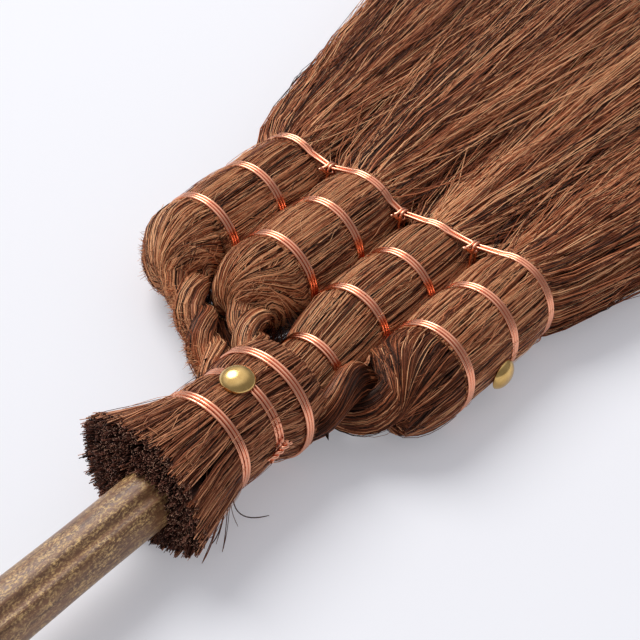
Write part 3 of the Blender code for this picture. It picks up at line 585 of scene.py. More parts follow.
# where the fibres of a dome go: each side has its middle, where that middle is aimed on the mouth and how much of
# the spread is kept; the last lines are the low fibres that tuck in, and the inner ones that sweep straight on
domeTurn = {
    "split": 160,
    "near": {"middle": 60, "aim": 160, "keep": 0.20, "ply": 165, "plyKeep": 0.65},
    "far": {"middle": 245, "aim": 340, "keep": 1.0, "ply": 345, "plyKeep": 0.8},
    "tuck": 80, "tuckBelow": 10, "tuckOver": 45,
    "innerSweep": 80, "innerShare": 0.50,
    "swing": 150, "swirlMore": 1.3, "join": 0.84,
}


def ropePaths(random, bundle, share, turn, depth, sway, plain):
    # over the dome each fibre sweeps across to its place in one of the two plies, then follows that ply;
    # a plain one goes straight to the mouth
    centre, side, turned, size, offset = ropeCourse(bundle, share)
    count = len(turn)
    degrees = np.degrees(turn)
    near, far = domeTurn["near"], domeTurn["far"]
    inner = depth[:, 0] > np.quantile(depth[:, 0], 0.0 if plain else domeTurn["innerShare"])
    sweep = 0 if plain else domeTurn["innerSweep"]
    first = np.where(inner, (degrees + sweep) % 360 < 180, degrees < domeTurn["split"])
    tucked = domeTurn["tuck"] * np.clip((domeTurn["tuckBelow"] - degrees) / domeTurn["tuckOver"], 0, 1)
    aim = np.where(degrees < domeTurn["split"], near["aim"] + (degrees - near["middle"]) * near["keep"] - tucked,
                   far["aim"] + (degrees - far["middle"]) * far["keep"])
    aim = np.where(inner, degrees + sweep + 1, aim)
    local = np.where(first, near["ply"] + (degrees - near["middle"]) * near["plyKeep"],
                     far["ply"] + (degrees - far["middle"]) * far["plyKeep"])
    local = np.where(inner, random.uniform(0, 360, count), local)
    start = np.searchsorted(share, bundle["domeEnd"] - 1e-9)
    along = np.clip(share / bundle["domeEnd"], 0, 1)[None, :]
    rolled = np.radians(local)[:, None] + (turned - turned[start])[None, :] * ropeFibres["roll"] + sway * 2
    plyTurn = turned[None, :] + np.where(first, 0.0, math.pi)[:, None]
    fill = size[None, :] - np.minimum(depth * 0.7, size[None, :] * 0.5)
    ropeAcross = offset[None, :] * np.cos(plyTurn) + fill * np.cos(rolled)
    ropeOver = offset[None, :] * np.sin(plyTurn) + fill * np.sin(rolled)
    swing = np.radians(aim) - turn
    most = math.radians(domeTurn["swing"])
    late = ropeFibres["swirlGrowth"] * (1 + domeTurn["swirlMore"] * (swing[:, None] / most) ** 2)
    swirled = chordAngle(turn[:, None], swing[:, None], along ** late, 0.5) + sway
    closing = np.cos(math.pi / 2 * along) ** ropeFibres["closing"]
    drop = depth + cinch(centre[:, 1] + np.where(share > 0, 1.0, 0.0), [broom["lowerBandY"]], wire["sink"])[None, :]
    if bundle["fold"]:
        ramp = np.sin(math.pi * along ** 0.8)
        drop = drop + foldDepth(turn, bundle["fold"])[:, None] * ramp
    mouth = (size + offset)[start] + 0.0006 - depth * 0.7
    wide = mouth + (bundle["halfWidth"] - drop - mouth) * closing
    high = mouth + (bundle["halfHeight"] - drop - mouth) * closing
    joined = np.clip((along - domeTurn["join"]) / 0.16, 0, 1) ** 1.5
    acrossRope = wide * np.cos(swirled) * (1 - joined) + ropeAcross * joined
    overRope = high * np.sin(swirled) * (1 - joined) + ropeOver * joined
    line = centre[None] + side[None] * acrossRope[..., None] + up * overRope[..., None]
    return onFloor(line, nearTable + np.clip(depth, 0, 0.003))


bodySwell = {"height": 0.0004, "every": 0.0272}


def bodySurface(bundle, y, turn, depth):
    bands = [broom["tieY"], broom["upperBandY"], broom["lowerBandY"]]
    wide = np.full_like(y, bundle["halfWidth"])
    high = np.full_like(y, bundle["halfHeight"])
    middleX = np.full_like(y, bundle["x"])
    middleZ = np.full_like(y, bundle["z"])
    if bundle is bundles[3]:
        # narrows to its waist, then into the collar
        stops = (broom["collarFrontY"], broom["waistBandY"], broom["lowerBandY"], 0.0)
        wide, high = (
            np.interp(y, stops, (waist[root], waist["halfSize"], bundle[full], bundle[full]))
            for root, full in (("rootWidth", "halfWidth"), ("rootHeight", "halfHeight"))
        )
        middleX = np.interp(y, stops, (waist["rootShiftX"], waist["shiftX"], 0.0, 0.0))
        middleZ = broom["tableZ"] + high - broom["flattening"]
        bands = bands + [broom["waistBandY"]]
    between = np.clip((y - broom["lowerBandY"]) / bodySwell["every"], -1, 2)
    swell = bodySwell["height"] * np.sin(math.pi * between) ** 2
    drop = depth + cinch(y, bands, wire["sink"]) - swell
    return layRound(middleX, middleZ, wide, high, y, turn, drop, depth)


def rimAt(turn):
    # half sizes of the cut rim and how far back it is cut, in a direction round the handle
    degrees = (np.degrees(turn) + 180) % 360 - 180
    out = np.interp(degrees, rim["turn"], rim["out"])
    return rim["halfWidth"] * out, rim["halfHeight"] * out, np.interp(degrees, rim["turn"], rim["cutY"])


def collarSurface(y, turn, depth):
    # round under its bands, then opening out to the cut rim
    stops = collar["bandY"][::-1] + collar["mouthY"]
    radius = np.interp(y, stops, collar["bandRadius"][::-1] + collar["mouthRadius"])
    lift = np.interp(y, stops, collar["bandLift"][::-1] + collar["mouthLift"])
    wide, high, cutY = rimAt(turn)
    flare = np.clip((collar["bandY"][2] - y) / (collar["bandY"][2] - cutY), 0, 1.15) ** 1.15
    wide = radius + (wide - radius) * flare
    high = radius + (high - radius) * flare
    middleX = broom["handleX"] + (rim["x"] - broom["handleX"]) * flare
    middleZ = broom["handleZ"] + lift + (rim["z"] - broom["handleZ"] - lift) * flare
    drop = depth + cinch(y, collar["bandY"], wire["sink"])
    return layRound(middleX, middleZ, wide, high, y, turn, drop, depth)


coreLook = {"offTable": 0.0008, "bundle": 0.0014, "neck": 0.0035, "collar": 0.0015}


def coreOf(node, shrink, endY=None):
    # the CAD solid, a little smaller, as the inside of a bundle, dark with painted shade; with endY it stops short of
    # the dome
    mesh = frame["nodes"][node].data.copy()
    shape = bmesh.new()
    shape.from_mesh(mesh)
    bmesh.ops.remove_doubles(shape, verts=shape.verts, dist=0.00001)
    if endY is not None:
        bmesh.ops.bisect_plane(shape, geom=shape.verts[:] + shape.edges[:] + shape.faces[:], plane_co=(0, endY, 0),
                               plane_no=(0, -1, 0), clear_outer=True)
        bmesh.ops.holes_fill(shape, edges=[edge for edge in shape.edges if edge.is_boundary])
    bmesh.ops.recalc_face_normals(shape, faces=shape.faces)
    shape.normal_update()
    for vert in shape.verts:
        vert.co -= vert.normal * shrink
        vert.co.z = max(vert.co.z, broom["tableZ"] + coreLook["offTable"])
    shape.to_mesh(mesh)
    shape.free()
    mesh.shade_smooth()
    mesh.materials.clear()
    return mesh


toneLook = {"tufts": 0.13, "brightShare": 0.20, "brighter": 0.34, "depthShade": 0.50, "shadeFrom": 0.0003,
            "shadeOver": 0.0010}


def strandTones(random, count, groups=None, spread=0.36, middle=0.62, depth=None):
    # tufts differ from each other, and what lies deeper is painted darker, as shade between the strands
    tones = random.normal(middle, spread, count)
    if groups is not None:
        tones += random.normal(0, toneLook["tufts"], groups.max() + 1)[groups]
    bright = random.random(count) < toneLook["brightShare"]
    tones[bright] += toneLook["brighter"]
    if depth is not None:
        # painted shade: the deeper a strand lies, the darker its tone
        deep = np.clip((depth[:, 0] - toneLook["shadeFrom"]) / toneLook["shadeOver"], 0, 1)
        tones -= deep * toneLook["depthShade"]
    return np.clip(tones, 0.02, 0.98)


def tufts(random, groups, share, looks):
    # each tuft lies at its own height and drifts as one
    count = groups.max() + 1
    height = np.abs(random.normal(0, looks["tuftDepth"], (count, 1)))
    return height[groups], wander(random, count, share, looks["tuftSway"], (0.6, 1.3, 2.4))[groups]


def layFibres(random, groups, share, looks, looser=1.0):
    # depth, sideways sway and lift of strands that lie in tufts
    count = len(groups)
    height, drift = tufts(random, groups, share, looks)
    depth = np.abs(random.normal(0, looks["layer"], (count, 1))) + height
    swaySize, swayWaves = looks["sway"]
    sway = wander(random, count, share, swaySize * looser, swayWaves)
    if "stray" in looks:
        strayShare, strayGain = looks["stray"]
        sway[random.random(count) < strayShare] *= strayGain
    lift = wander(random, count, share, looks["lift"] * looser, (1.3, 2.9))
    return depth, sway + drift, lift


def strandRadii(random, count, points, taper=0.55):
    thick = fibre["radius"] + np.abs(random.normal(0, fibre["spread"], (count, 1)))
    ends = np.linspace(0, 1, points)[None, :]
    return thick * (taper + (1 - taper) * np.clip(np.minimum(ends, 1 - ends) * 8, 0, 1))


looseLook = {"length": (0.008, 0.030), "across": 0.15, "curl": 0.018, "stand": 0.0006, "mostStand": 0.0008}


def looseHairs(random, surface, low, high, count):
    # single fibres that have come loose and lie across the others, standing off them a little
    share = np.linspace(0, 1, 9)
    length = random.uniform(*looseLook["length"], (count, 1)) * random.choice((-1, 1), (count, 1))
    y = np.clip(random.uniform(low, high, (count, 1)) + length * share, low, high)
    turn = random.uniform(0, 2 * math.pi, (count, 1)) + random.normal(0, looseLook["across"], (count, 1)) * share
    turn = turn + wander(random, count, share, looseLook["curl"], (0.8, 1.7))
    # never so high that they would pass over a wire
    stand = np.minimum(np.abs(random.normal(0, looseLook["stand"], (count, 1))), looseLook["mostStand"])
    line = surface(y, turn, -0.0002 - stand * np.sin(math.pi * share) ** 0.7)
    radii = strandRadii(random, count, len(share), 0.4) * 0.62
    return strandMesh("loose", line, radii, strandTones(random, count, middle=0.66))


# bundles

bodyFibres = {"count": 1750, "clumps": 320, "layer": 0.0006, "sway": (0.011, (0.7, 1.6, 3.1)), "stray": (0.08, 4.0),
              "lift": 0.00010, "tuftDepth": 0.00022, "tuftSway": 0.012}
ropeFibres = {"count": 1150, "clumps": 280, "layer": 0.0006, "sway": (0.014, (0.6, 1.3, 2.6)), "lift": 0.00014,
              "tuftDepth": 0.00045, "tuftSway": 0.018, "under": 420, "underDepth": 0.0004, "loose": 60,
              "roll": 0.35, "swirlGrowth": 1.2, "closing": 0.72, "ropePoints": 12}


def bodyLines(bundle):
    random = np.random.default_rng(bundle["seed"])
    marks = [34.0, 31.2, 28.5, 20.0, 10.6, 7.7, 4.8, 0.0, -8.0, -16.4, -19.5, -22.6]
    count = bodyFibres["count"]
    if bundle is bundles[3]:
        marks += [-31.0, -40.4, -43.7, -46.9, -56.0, -67.0]
        count = int(count * 0.9)
    y = np.array(marks) * mm
    share = np.linspace(0, 1, len(y))
    # more of them on the side that shows
    turn = np.where(random.random(count) < 0.55, random.uniform(-0.4, math.pi + 0.4, count),
                    random.uniform(0, 2 * math.pi, count))
    turn, groups = clumped(random, turn, bodyFibres["clumps"], 0.5)
    depth, sway, lift = layFibres(random, groups, share, bodyFibres)
    line = bodySurface(bundle, np.broadcast_to(y, (count, len(y))), turn[:, None] + sway, depth + lift)
    return strandMesh("bodyStrands", line, strandRadii(random, count, len(y), 0.9),
                      strandTones(random, count, groups, depth=depth))


def domeLines(bundle, name, count, share, deeper=0.0, looser=1.0):
    random = np.random.default_rng(bundle["seed"] + 100 + count)
    turn = random.uniform(0, 2 * math.pi, count)
    if deeper > 0:
        # most of the plain ones lie where the others sweep away from
        turn = np.where(random.random(count) < 0.6, random.uniform(-1.0, 1.4, count), turn)
    turn, groups = clumped(random, turn, ropeFibres["clumps"], 0.5)
    turn = turn % (2 * math.pi)
    turn = np.where(turn > math.radians(325), turn - 2 * math.pi, turn)
    even = np.linspace(0, 1, len(share))
    depth, sway, lift = layFibres(random, groups, even, ropeFibres, looser)
    lift = lift + deeper
    line = ropePaths(random, bundle, share, turn, depth + lift, sway, deeper > 0)
    radii = strandRadii(random, count, len(share), 0.9) * (0.7 if looser > 1 else 1.03)
    # deeper strands and the plain ones underneath get darker tones: painted shade
    tones = strandTones(random, count, groups, bundle["ropeSpread"], bundle["ropeTone"],
                        depth=depth * 1.1 + max(deeper, 0) * 0.4)
    return strandMesh(name, line, radii, tones)


fringeLook = {"count": 1350, "length": (0.0008, 0.0027), "from": 0.10, "to": 0.94}


def fringe(bundle):
    # short frayed hairs along the outer side of the first dome and its rope
    random = np.random.default_rng(77)
    count = fringeLook["count"]
    share = np.sort(random.uniform(fringeLook["from"], fringeLook["to"], count))
    centre, side, turned, size, offset = ropeCourse(bundle, share)
    closing = np.cos(math.pi / 2 * np.clip(share / bundle["domeEnd"], 0, 1)) ** ropeFibres["closing"]
    rope = size + offset * (0.55 + 0.45 * np.abs(np.cos(turned)))
    wide = np.maximum(rope, rope + (bundle["halfWidth"] - rope) * closing) - 0.0014
    over = random.normal(math.radians(178), math.radians(28), count)
    outward = side * np.cos(over)[:, None] + up * np.sin(over)[:, None]
    start = centre + outward * wide[:, None]
    lean = random.normal(0, 0.45, (count, 3)) + np.array((-0.1, -0.45, 0.05))
    heading = outward + lean
    heading /= np.linalg.norm(heading, axis=1, keepdims=True)
    bend = random.normal(0, 0.35, (count, 3))
    length = random.uniform(*fringeLook["length"], count)
    steps = np.array([0.0, 0.35, 0.7, 1.0])
    line = start[:, None] + heading[:, None] * (length[:, None] * steps)[..., None]
    line = line + bend[:, None] * (length[:, None] * steps**2)[..., None]
    radii = strandRadii(random, count, 4, 0.6) * np.array((0.75, 0.65, 0.5, 0.3))
    return strandMesh("fringe", onFloor(line, nearTable), radii, strandTones(random, count, middle=0.74))


# the veil starts under the domes and ends at the collar: the reach of each end in x, y and z; its dark tone is painted
# shade
shadeVeilLook = {
    "count": 620,
    "tone": (0.22, 0.12),
    "start": ((-0.066, -0.016), (-0.036, -0.026), (0.002, 0.013)),
    "end": ((-0.011, 0.006), (-0.072, -0.067), (0.006, 0.020)),
}


def shadeVeil():
    # thin stray fibres that run under the ropes from the domes to the collar, dark in tone as painted shade in the
    # gaps between the ropes
    random = np.random.default_rng(78)
    count = shadeVeilLook["count"]
    part = random.random(count)
    share = np.linspace(0, 1, 8)
    ease = share**1.4
    start, end = (
        np.stack([x[0] + (x[1] - x[0]) * part, random.uniform(*y, count), random.uniform(*z, count)], axis=-1)
        for x, y, z in (shadeVeilLook["start"], shadeVeilLook["end"])
    )
    line = start[:, None] + (end - start)[:, None] * np.stack([ease, share, share], axis=-1)[None]
    line[..., 0] += wander(random, count, share, 0.0016, (0.7, 1.5))
    line[..., 2] += wander(random, count, share, 0.0008, (0.6, 1.4))
    # dark tones: painted shade where the floor would show through the gaps
    tones = np.clip(random.normal(*shadeVeilLook["tone"], count), 0, 0.6)
    return strandMesh("shadeVeil", onFloor(line, broom["tableZ"] + 0.0004), strandRadii(random, count, 8, 0.7), tones)


def makeRope(number, bundle):
    # the neck, and the strands that lie plainly under it on the dome
    marks = np.array([0.15, 0.30, 0.45, 0.59, 0.72, 0.83, 0.91, 0.96]) * bundle["domeEnd"]
    before = [-0.075, -0.04, 0.0]
    after = np.linspace(bundle["domeEnd"], 1, ropeFibres["ropePoints"])
    parts = [
        coreOf(f"neck_{number}", coreLook["neck"]),
        domeLines(bundle, "ropeStrands", ropeFibres["count"], np.concatenate([before, marks, after])),
        domeLines(bundle, "looseRope", ropeFibres["loose"], np.concatenate([[0.0], marks, after]), -0.0009, 3.0),
    ]
    if number == 1:
        parts.append(fringe(bundle))
    if number == 2:
        parts.append(shadeVeil())
    materials = [innerFibreShade] + [palmFibre] * (len(parts) - 1)
    joinMeshes(f"neckFibres{number}", parts, materials, f"neck_{number}")
    share = np.concatenate([before, marks[:-1], after[:2]])
    return domeLines(bundle, "underStrands", ropeFibres["under"], share, ropeFibres["underDepth"])


def makeBundle(number):
    bundle = bundles[number]
    random = np.random.default_rng(bundle["seed"] + 500)
    surface = partial(bodySurface, bundle)
    if number == 3:
        loose = looseHairs(random, surface, -0.062, 0.034, 190)
        meshes = [coreOf("bundle_3", coreLook["bundle"]), bodyLines(bundle), loose]
    else:
        under = makeRope(number, bundle)
        loose = looseHairs(random, surface, broom["lowerBandY"], 0.034, 130)
        core = coreOf(f"bundle_{number}", coreLook["bundle"], broom["lowerBandY"])
        meshes = [core, bodyLines(bundle), under, loose]
    materials = [innerFibreShade] + [palmFibre] * (len(meshes) - 1)
    joinMeshes(f"bundleFibres{number}", meshes, materials, f"bundle_{number}")


for number in bundles:
    makeBundle(number)
    print(f"bundle {number} laid")


# collar and its cut end

collarFibres = {"count": 1800, "clumps": 320, "layer": 0.0006, "sway": (0.014, (0.6, 1.4, 2.7)), "stray": (0.12, 3.5),
                "lift": 0.00012, "tuftDepth": 0.00022, "tuftSway": 0.014}

# hairs that hang out below the collar on to the table: how many, and the bend of their course in mm
wispLook = [
    (4, ((15.0, -100.0, 14.0), (17.0, -106.0, 2.0), (20.0, -108.0, 3.5), (24.6, -115.6, 0.8))),
    (2, ((16.0, -104.0, 11.0), (18.0, -108.0, 3.0), (20.0, -112.0, 2.0), (21.6, -116.4, 1.2))),
    (1, ((15.5, -101.0, 12.0), (17.5, -104.5, 1.0), (22.5, -101.5, 1.6), (26.9, -96.5, 0.9))),
    (1, ((15.5, -102.0, 12.0), (17.0, -104.0, 2.0), (20.0, -104.0, 1.2), (21.9, -105.4, 0.9))),
    (2, ((19.0, -110.0, 13.0), (22.0, -116.0, 7.0), (23.0, -120.0, 4.0), (24.0, -125.0, 1.5))),
]


def wisps():
    random = np.random.default_rng(33)
    share = np.linspace(0, 1, 14)[:, None]
    lines = []
    for count, course in wispLook:
        for _ in range(count):
            loosened = random.normal(0, 0.0005, (4, 3)) * [[0.4], [1], [1], [1]]
            lines.append(bezier(np.array(course) * mm + loosened, share))
    lines = onFloor(np.array(lines), nearTable)
    radii = strandRadii(random, len(lines), 14, 0.6)
    return strandMesh("wisps", lines, radii, random.uniform(0.25, 0.6, len(lines)))


def makeCollar():
    random = np.random.default_rng(31)
    count = collarFibres["count"]
    marks = np.array([-64.0, -70.8, -74.3, -77.8, -83.2, -86.6, -90.2, -96.5, -100.6, -103.6, -106.8]) * mm
    turn, groups = clumped(random, random.uniform(0, 2 * math.pi, count), collarFibres["clumps"], 0.5)
    ends = rimAt(turn)[2] + random.normal(0, 0.0008, count) + random.normal(0, 0.0009, groups.max() + 1)[groups]
    flare = (ends[:, None] - marks[-1]) * np.array((0.35, 0.70, 1.0)) + marks[-1]
    y = np.concatenate([np.broadcast_to(marks, (count, len(marks))), flare], axis=1)
    share = np.linspace(0, 1, y.shape[1])
    depth, sway, lift = layFibres(random, groups, share, collarFibres)
    line = collarSurface(y, turn[:, None] + sway, depth + lift)
    strands = strandMesh("collarStrands", line, strandRadii(random, count, len(share), 0.9),
                         strandTones(random, count, groups, middle=0.60, depth=depth))
    loose = looseHairs(random, collarSurface, -0.122, -0.066, 240)
    core = coreOf("collar_fibres", coreLook["collar"])
    joinMeshes("collarFibres", [core, strands, loose, wisps()],
               [innerFibreShade, collarFibre, collarFibre, collarFibre], "collar_fibres")


makeCollar()

cutEnd = {"count": 5800, "clumps": 620, "radius": 0.00019, "radiusSpread": 0.00005, "length": (0.007, 0.010),
          "tone": (0.42, 0.20), "tipHighlightTone": (0.80, 0.26)}


def makeCutEnd():
    # tips of the collar's fibres, cut off together, standing in small tufts; their sides are painted dark as shade and
    # their cut ends light as painted highlight
    random = np.random.default_rng(32)
    count = cutEnd["count"] * 2
    turn = random.uniform(-math.pi, math.pi, count)
    out = np.sqrt(random.uniform(0.0, 1.0, count))
    wide, high, cutY = rimAt(turn)
    x = rim["x"] + out * np.cos(turn) * (wide - 0.0002)
    z = rim["z"] + out * np.sin(turn) * (high - 0.0002)
    keep = np.hypot(x - broom["handleX"], z - broom["handleZ"]) > broom["handleRadius"] + 0.0005
    x, z, out, cutY = (values[keep][:cutEnd["count"]] for values in (x, z, out, cutY))
    count = len(x)
    middles = random.integers(0, count, cutEnd["clumps"])
    nearest = ((x[:, None] - x[middles][None]) ** 2 + (z[:, None] - z[middles][None]) ** 2).argmin(axis=1)
    drawn = random.uniform(0.1, 0.6, cutEnd["clumps"])[nearest]
    tipX = x + (x[middles][nearest] - x) * drawn * 0.6
    tipZ = z + (z[middles][nearest] - z) * drawn * 0.6
    face = rim["middleY"] + (cutY - rim["middleY"]) * out**2.2
    tipY = face + random.normal(0, 0.0006, count) + random.normal(0, 0.0007, cutEnd["clumps"])[nearest]
    middleX, middleZ = broom["handleX"], broom["handleZ"]
    depth = random.uniform(*cutEnd["length"], count)
    back = 1 - 0.20 * out
    start = np.stack([middleX + (x - middleX) * back, tipY + depth, middleZ + (z - middleZ) * back], -1)
    knee = np.stack([x * 0.6 + start[:, 0] * 0.4, tipY + depth * 0.4, z * 0.6 + start[:, 2] * 0.4], -1)
    spread = 1 + 0.02 * out
    tip = np.stack([middleX + (tipX - middleX) * spread, tipY, middleZ + (tipZ - middleZ) * spread], -1)
    line = onFloor(np.stack([start, knee, tip], axis=1), broom["tableZ"] + 0.0004)
    # dark tones along the stubs are painted shade, light tones on their cut ends painted highlight
    tones = np.clip(random.normal(*cutEnd["tone"], count), 0, 1)
    ends = np.clip(random.normal(*cutEnd["tipHighlightTone"], count), 0, 1)
    radii = cutEnd["radius"] + np.abs(random.normal(0, cutEnd["radiusSpread"], (count, 1)))
    stubs = strandMesh("stubs", line, radii * np.array((1.0, 1.0, 0.9)), tones, endTone=ends)
    joinMeshes("cutEndFibres", [stubs], [litAndShadedCutFibre], "cut_end_stubs")


makeCutEnd()
print("collar and cut end laid")


# fan of bristles

fan = {
    "count": 2500,
    "clumps": 420,
    "pull": 0.55,
    "clumpSpread": 0.009,
    "strandSpread": 0.0035,
    "stray": 0.28,
    "straySpread": 0.036,
    "edge": 0.004,
    "skinShare": 0.45,
    "earlyShare": 0.095,
    "earlyLength": 0.03,
    "taper": 0.45,
}


def fanSpread(share):
    early = fan["earlyShare"] * (1 - np.exp(-share / fan["earlyLength"]))
    return early + (1 - fan["earlyShare"]) * share


def makeFan(number):
    bundle = bundles[number]
    random = np.random.default_rng(bundle["seed"] + 300)
    count = fan["count"]
    rowLeft = bundles[1]["x"] - bundles[1]["halfWidth"]
    rowRight = bundles[4]["x"] + bundles[4]["halfWidth"]
    angle = random.uniform(0, 2 * math.pi, count)
    # many of them start at the bundle's skin
    atSkin = random.random(count) < fan["skinShare"]
    out = np.where(atSkin, np.sqrt(random.uniform(0.78, 1, count)), np.sqrt(random.uniform(0, 1, count)))
    startX = bundle["x"] + out * np.cos(angle) * (bundle["halfWidth"] - 0.0011)
    startZ = bundle["z"] + out * np.sin(angle) * (bundle["halfHeight"] - 0.0011)
    startY = np.full(count, broom["tieY"] - 0.001)
    share = np.array([0.0, 0.02, 0.055, 0.12, 0.21, 0.33, 0.48, 0.68, 1.0])
    wide = (startX - rowLeft) / (rowRight - rowLeft)
    high = np.clip(startZ / (2 * bundle["halfHeight"] - broom["flattening"]), 0, 1)
    tipX = broom["fanLeftX"] + (broom["fanRightX"] - broom["fanLeftX"]) * wide
    tipZ = broom["fanBottomZ"] + (broom["fanTopZ"] - broom["fanBottomZ"]) * high
    # clumps run side by side and leave dark slits between them
    middles = random.integers(0, count, fan["clumps"])
    awayX, awayZ = tipX[:, None] - tipX[middles][None], tipZ[:, None] - tipZ[middles][None]
    nearest = (awayX ** 2 + (3 * awayZ) ** 2).argmin(axis=1)
    clumpX = random.normal(0, fan["clumpSpread"], fan["clumps"])[nearest]
    tipX = tipX + (tipX[middles][nearest] - tipX) * fan["pull"] + clumpX
    tipX = tipX + random.normal(0, fan["strandSpread"], count)
    stray = random.random(count) < fan["stray"]
    tipX = np.where(stray, tipX + random.normal(0, fan["straySpread"], count), tipX)
    tipX = np.clip(tipX, broom["fanLeftX"] - fan["edge"], broom["fanRightX"] + fan["edge"])
    tipZ = np.clip(tipZ + random.normal(0, 0.0018, count), broom["tableZ"] + 0.0006, broom["fanTopZ"] + fan["edge"])
    tipY = broom["tipY"] + random.normal(0, 0.0035, count) - np.abs(random.normal(0, 0.004, count))
    spread = fanSpread(share)[None, :]
    x = startX[:, None] + (tipX - startX)[:, None] * spread
    y = startY[:, None] + (tipY - startY)[:, None] * share[None, :]
    z = startZ[:, None] + (tipZ - startZ)[:, None] * share[None, :]
    grow = np.clip(share * 6, 0, 1)[None, :]
    x = x + (wander(random, count, share, 0.0008, (1.1, 2.6, 5.0))
             + wander(random, fan["clumps"], share, 0.0010, (0.8, 1.9, 3.2))[nearest]) * grow
    z = z + (wander(random, count, share, 0.0005, (1.0, 2.3, 4.4))
             + wander(random, fan["clumps"], share, 0.0009, (0.7, 1.6, 2.8))[nearest]) * grow
    line = onFloor(np.stack([x, y, z], axis=-1), broom["tableZ"] + 0.0004)
    thick = fibre["radius"] * 1.15 + np.abs(random.normal(0, fibre["spread"], (count, 1)))
    # strands that start deep inside the bundle get darker tones: painted shade
    tones = strandTones(random, count, nearest, middle=bundle["fanTone"], depth=0.0027 * (1 - out[:, None]))
    strands = strandMesh("fanStrands", line, thick * (1 - fan["taper"] * share), tones)
    joinMeshes(f"fanFibres{number}", [strands], [palmFibre], f"bristles_{number}")


for number in bundles:
    makeFan(number)
print("fan laid")


# copper windings

def wirePiece(name, paths, node):
    curve = bpy.data.curves.new(name, "CURVE")
    curve.dimensions = "3D"
    curve.bevel_depth = wire["radius"]
    curve.bevel_resolution = 2
    curve.use_fill_caps = True
    for path in paths:
        spline = curve.splines.new("POLY")
        spline.points.add(len(path) - 1)
        for point, place in zip(spline.points, path):
            point.co = (*place, 1)
    mesh = curveMesh(curve)
    mesh.materials.clear()
    mesh.materials.append(copperWire)
    mesh.shade_smooth()
    addPiece(name, mesh, node)


def bandPath(surface, bandY, seed):
    # turns lie side by side; surface gives the place of a fibre in the groove, and the wire lies on it
    random = np.random.default_rng(seed)
    total = wire["turns"] * wire["steps"] + 1
    count = np.arange(total) / wire["steps"]
    turn = math.radians(wire["startAngle"]) + 2 * math.pi * np.arange(total) / wire["steps"]
    phase = random.uniform(0, 6.28, 3)
    y = bandY + wire["pitch"] * (count - wire["turns"] / 2) + wire["wobble"] * (
        np.sin(turn * 1.0 + phase[0]) + np.sin(turn * 0.37 + phase[1]) + 0.6 * np.sin(turn * 3.3 + phase[2]))
    points = surface(np.full_like(y, bandY), turn, np.full(total, -wire["radius"] * 1.05))
    points[:, 1] = y
    # lifted off the table by its own thickness
    return onFloor(points, broom["tableZ"] + wire["radius"] + 0.0001)


twist = {"start": (0.0234, -0.0930, 0.0222), "end": (0.0246, -0.0862, 0.0256), "radius": 0.00056, "pitch": 0.0044,
         "tail": 0.0014}


def twistedEnd():
    # the two ends of the middle band are twisted together at the side and lie along the collar
    start, end = (np.array(twist[key]) for key in ("start", "end"))
    along = (end - start) / np.linalg.norm(end - start)
    first = np.cross(along, (0, 0, 1.0))
    first /= np.linalg.norm(first)
    second = np.cross(along, first)
    length = np.linalg.norm(end - start)
    steps = np.linspace(0, 1, 40)
    paths = []
    for half in (0, 1):
        turn = 2 * math.pi * length * steps / twist["pitch"] + math.pi * half
        path = start + (end - start) * steps[:, None] + twist["radius"] * (
            np.cos(turn)[:, None] * first + np.sin(turn)[:, None] * second)
        out = (first * np.cos(turn[-1]) + second * np.sin(turn[-1])) * 0.6 + along * (0.9 if half else 0.3)
        tail = path[-1] + out * np.array((0.5, 1.0))[:, None] * twist["tail"]
        paths.append(np.concatenate([path, tail]))
    return paths


seed = 50
for number, bundle in bundles.items():
    rows = [broom["lowerBandY"], broom["upperBandY"]]
    if number == 3:
        rows.insert(0, broom["waistBandY"])
    for count, bandY in enumerate(rows, 1):
        seed += 1
        path = bandPath(partial(bodySurface, bundle), bandY, seed)
        wirePiece(f"bundleWinding{number}{'abc'[count - 1]}", [path], f"bundle_{number}_band_{count}")
for count, bandY in zip((3, 2, 1), collar["bandY"]):
    seed += 1
    paths = [bandPath(collarSurface, bandY, seed)]
    if count == 2:
        paths += twistedEnd()
    wirePiece(f"collarWinding{count}", paths, f"collar_band_{count}")
print("windings wound")


# tie across the row, with its stitches

tie = {
    "leaves": ((180, 62), (112, 46), (112, 75), (112, 0)),
    "under": ((-60, -180), (-60, -120), (-60, -120), (0, -120)),
    "y": (0.0338, 0.0308, 0.0311, 0.0308),
    "pitch": 0.00124,
    "narrow": 0.30,
    "drop": 0.00085,
    "valleyX": (-0.0515, -0.0162, 0.0158),
    "valleyZ": (0.0322, 0.0296, 0.0318),
}
rowX = [bundle["x"] for bundle in bundles.values()]


def tieStops(bundle, turns, steps):
    for degrees in np.linspace(*turns, steps):
        turn = np.array([math.radians(degrees)])
        x, _, z = bodySurface(bundle, np.array([broom["tieY"]]), turn, np.array([-wire["radius"]]))[0]
        yield x, z


def tieCourse():
    # over the four bundles from left to right and back underneath, in x, z, and how near to a valley
    stops = []
    rows = list(bundles.values())
    for place, bundle in enumerate(rows):
        stops += [(x, z, 0.0) for x, z in tieStops(bundle, tie["leaves"][place], 13)]
        if place < 3:
            stops.append((tie["valleyX"][place], tie["valleyZ"][place], 1.0))
    lowest = broom["tableZ"] + wire["radius"] + 0.0002
    for place in range(3, -1, -1):
        stops += [(x, max(z, lowest), 0.0) for x, z in tieStops(rows[place], tie["under"][place], 9)]
    return np.array(stops)


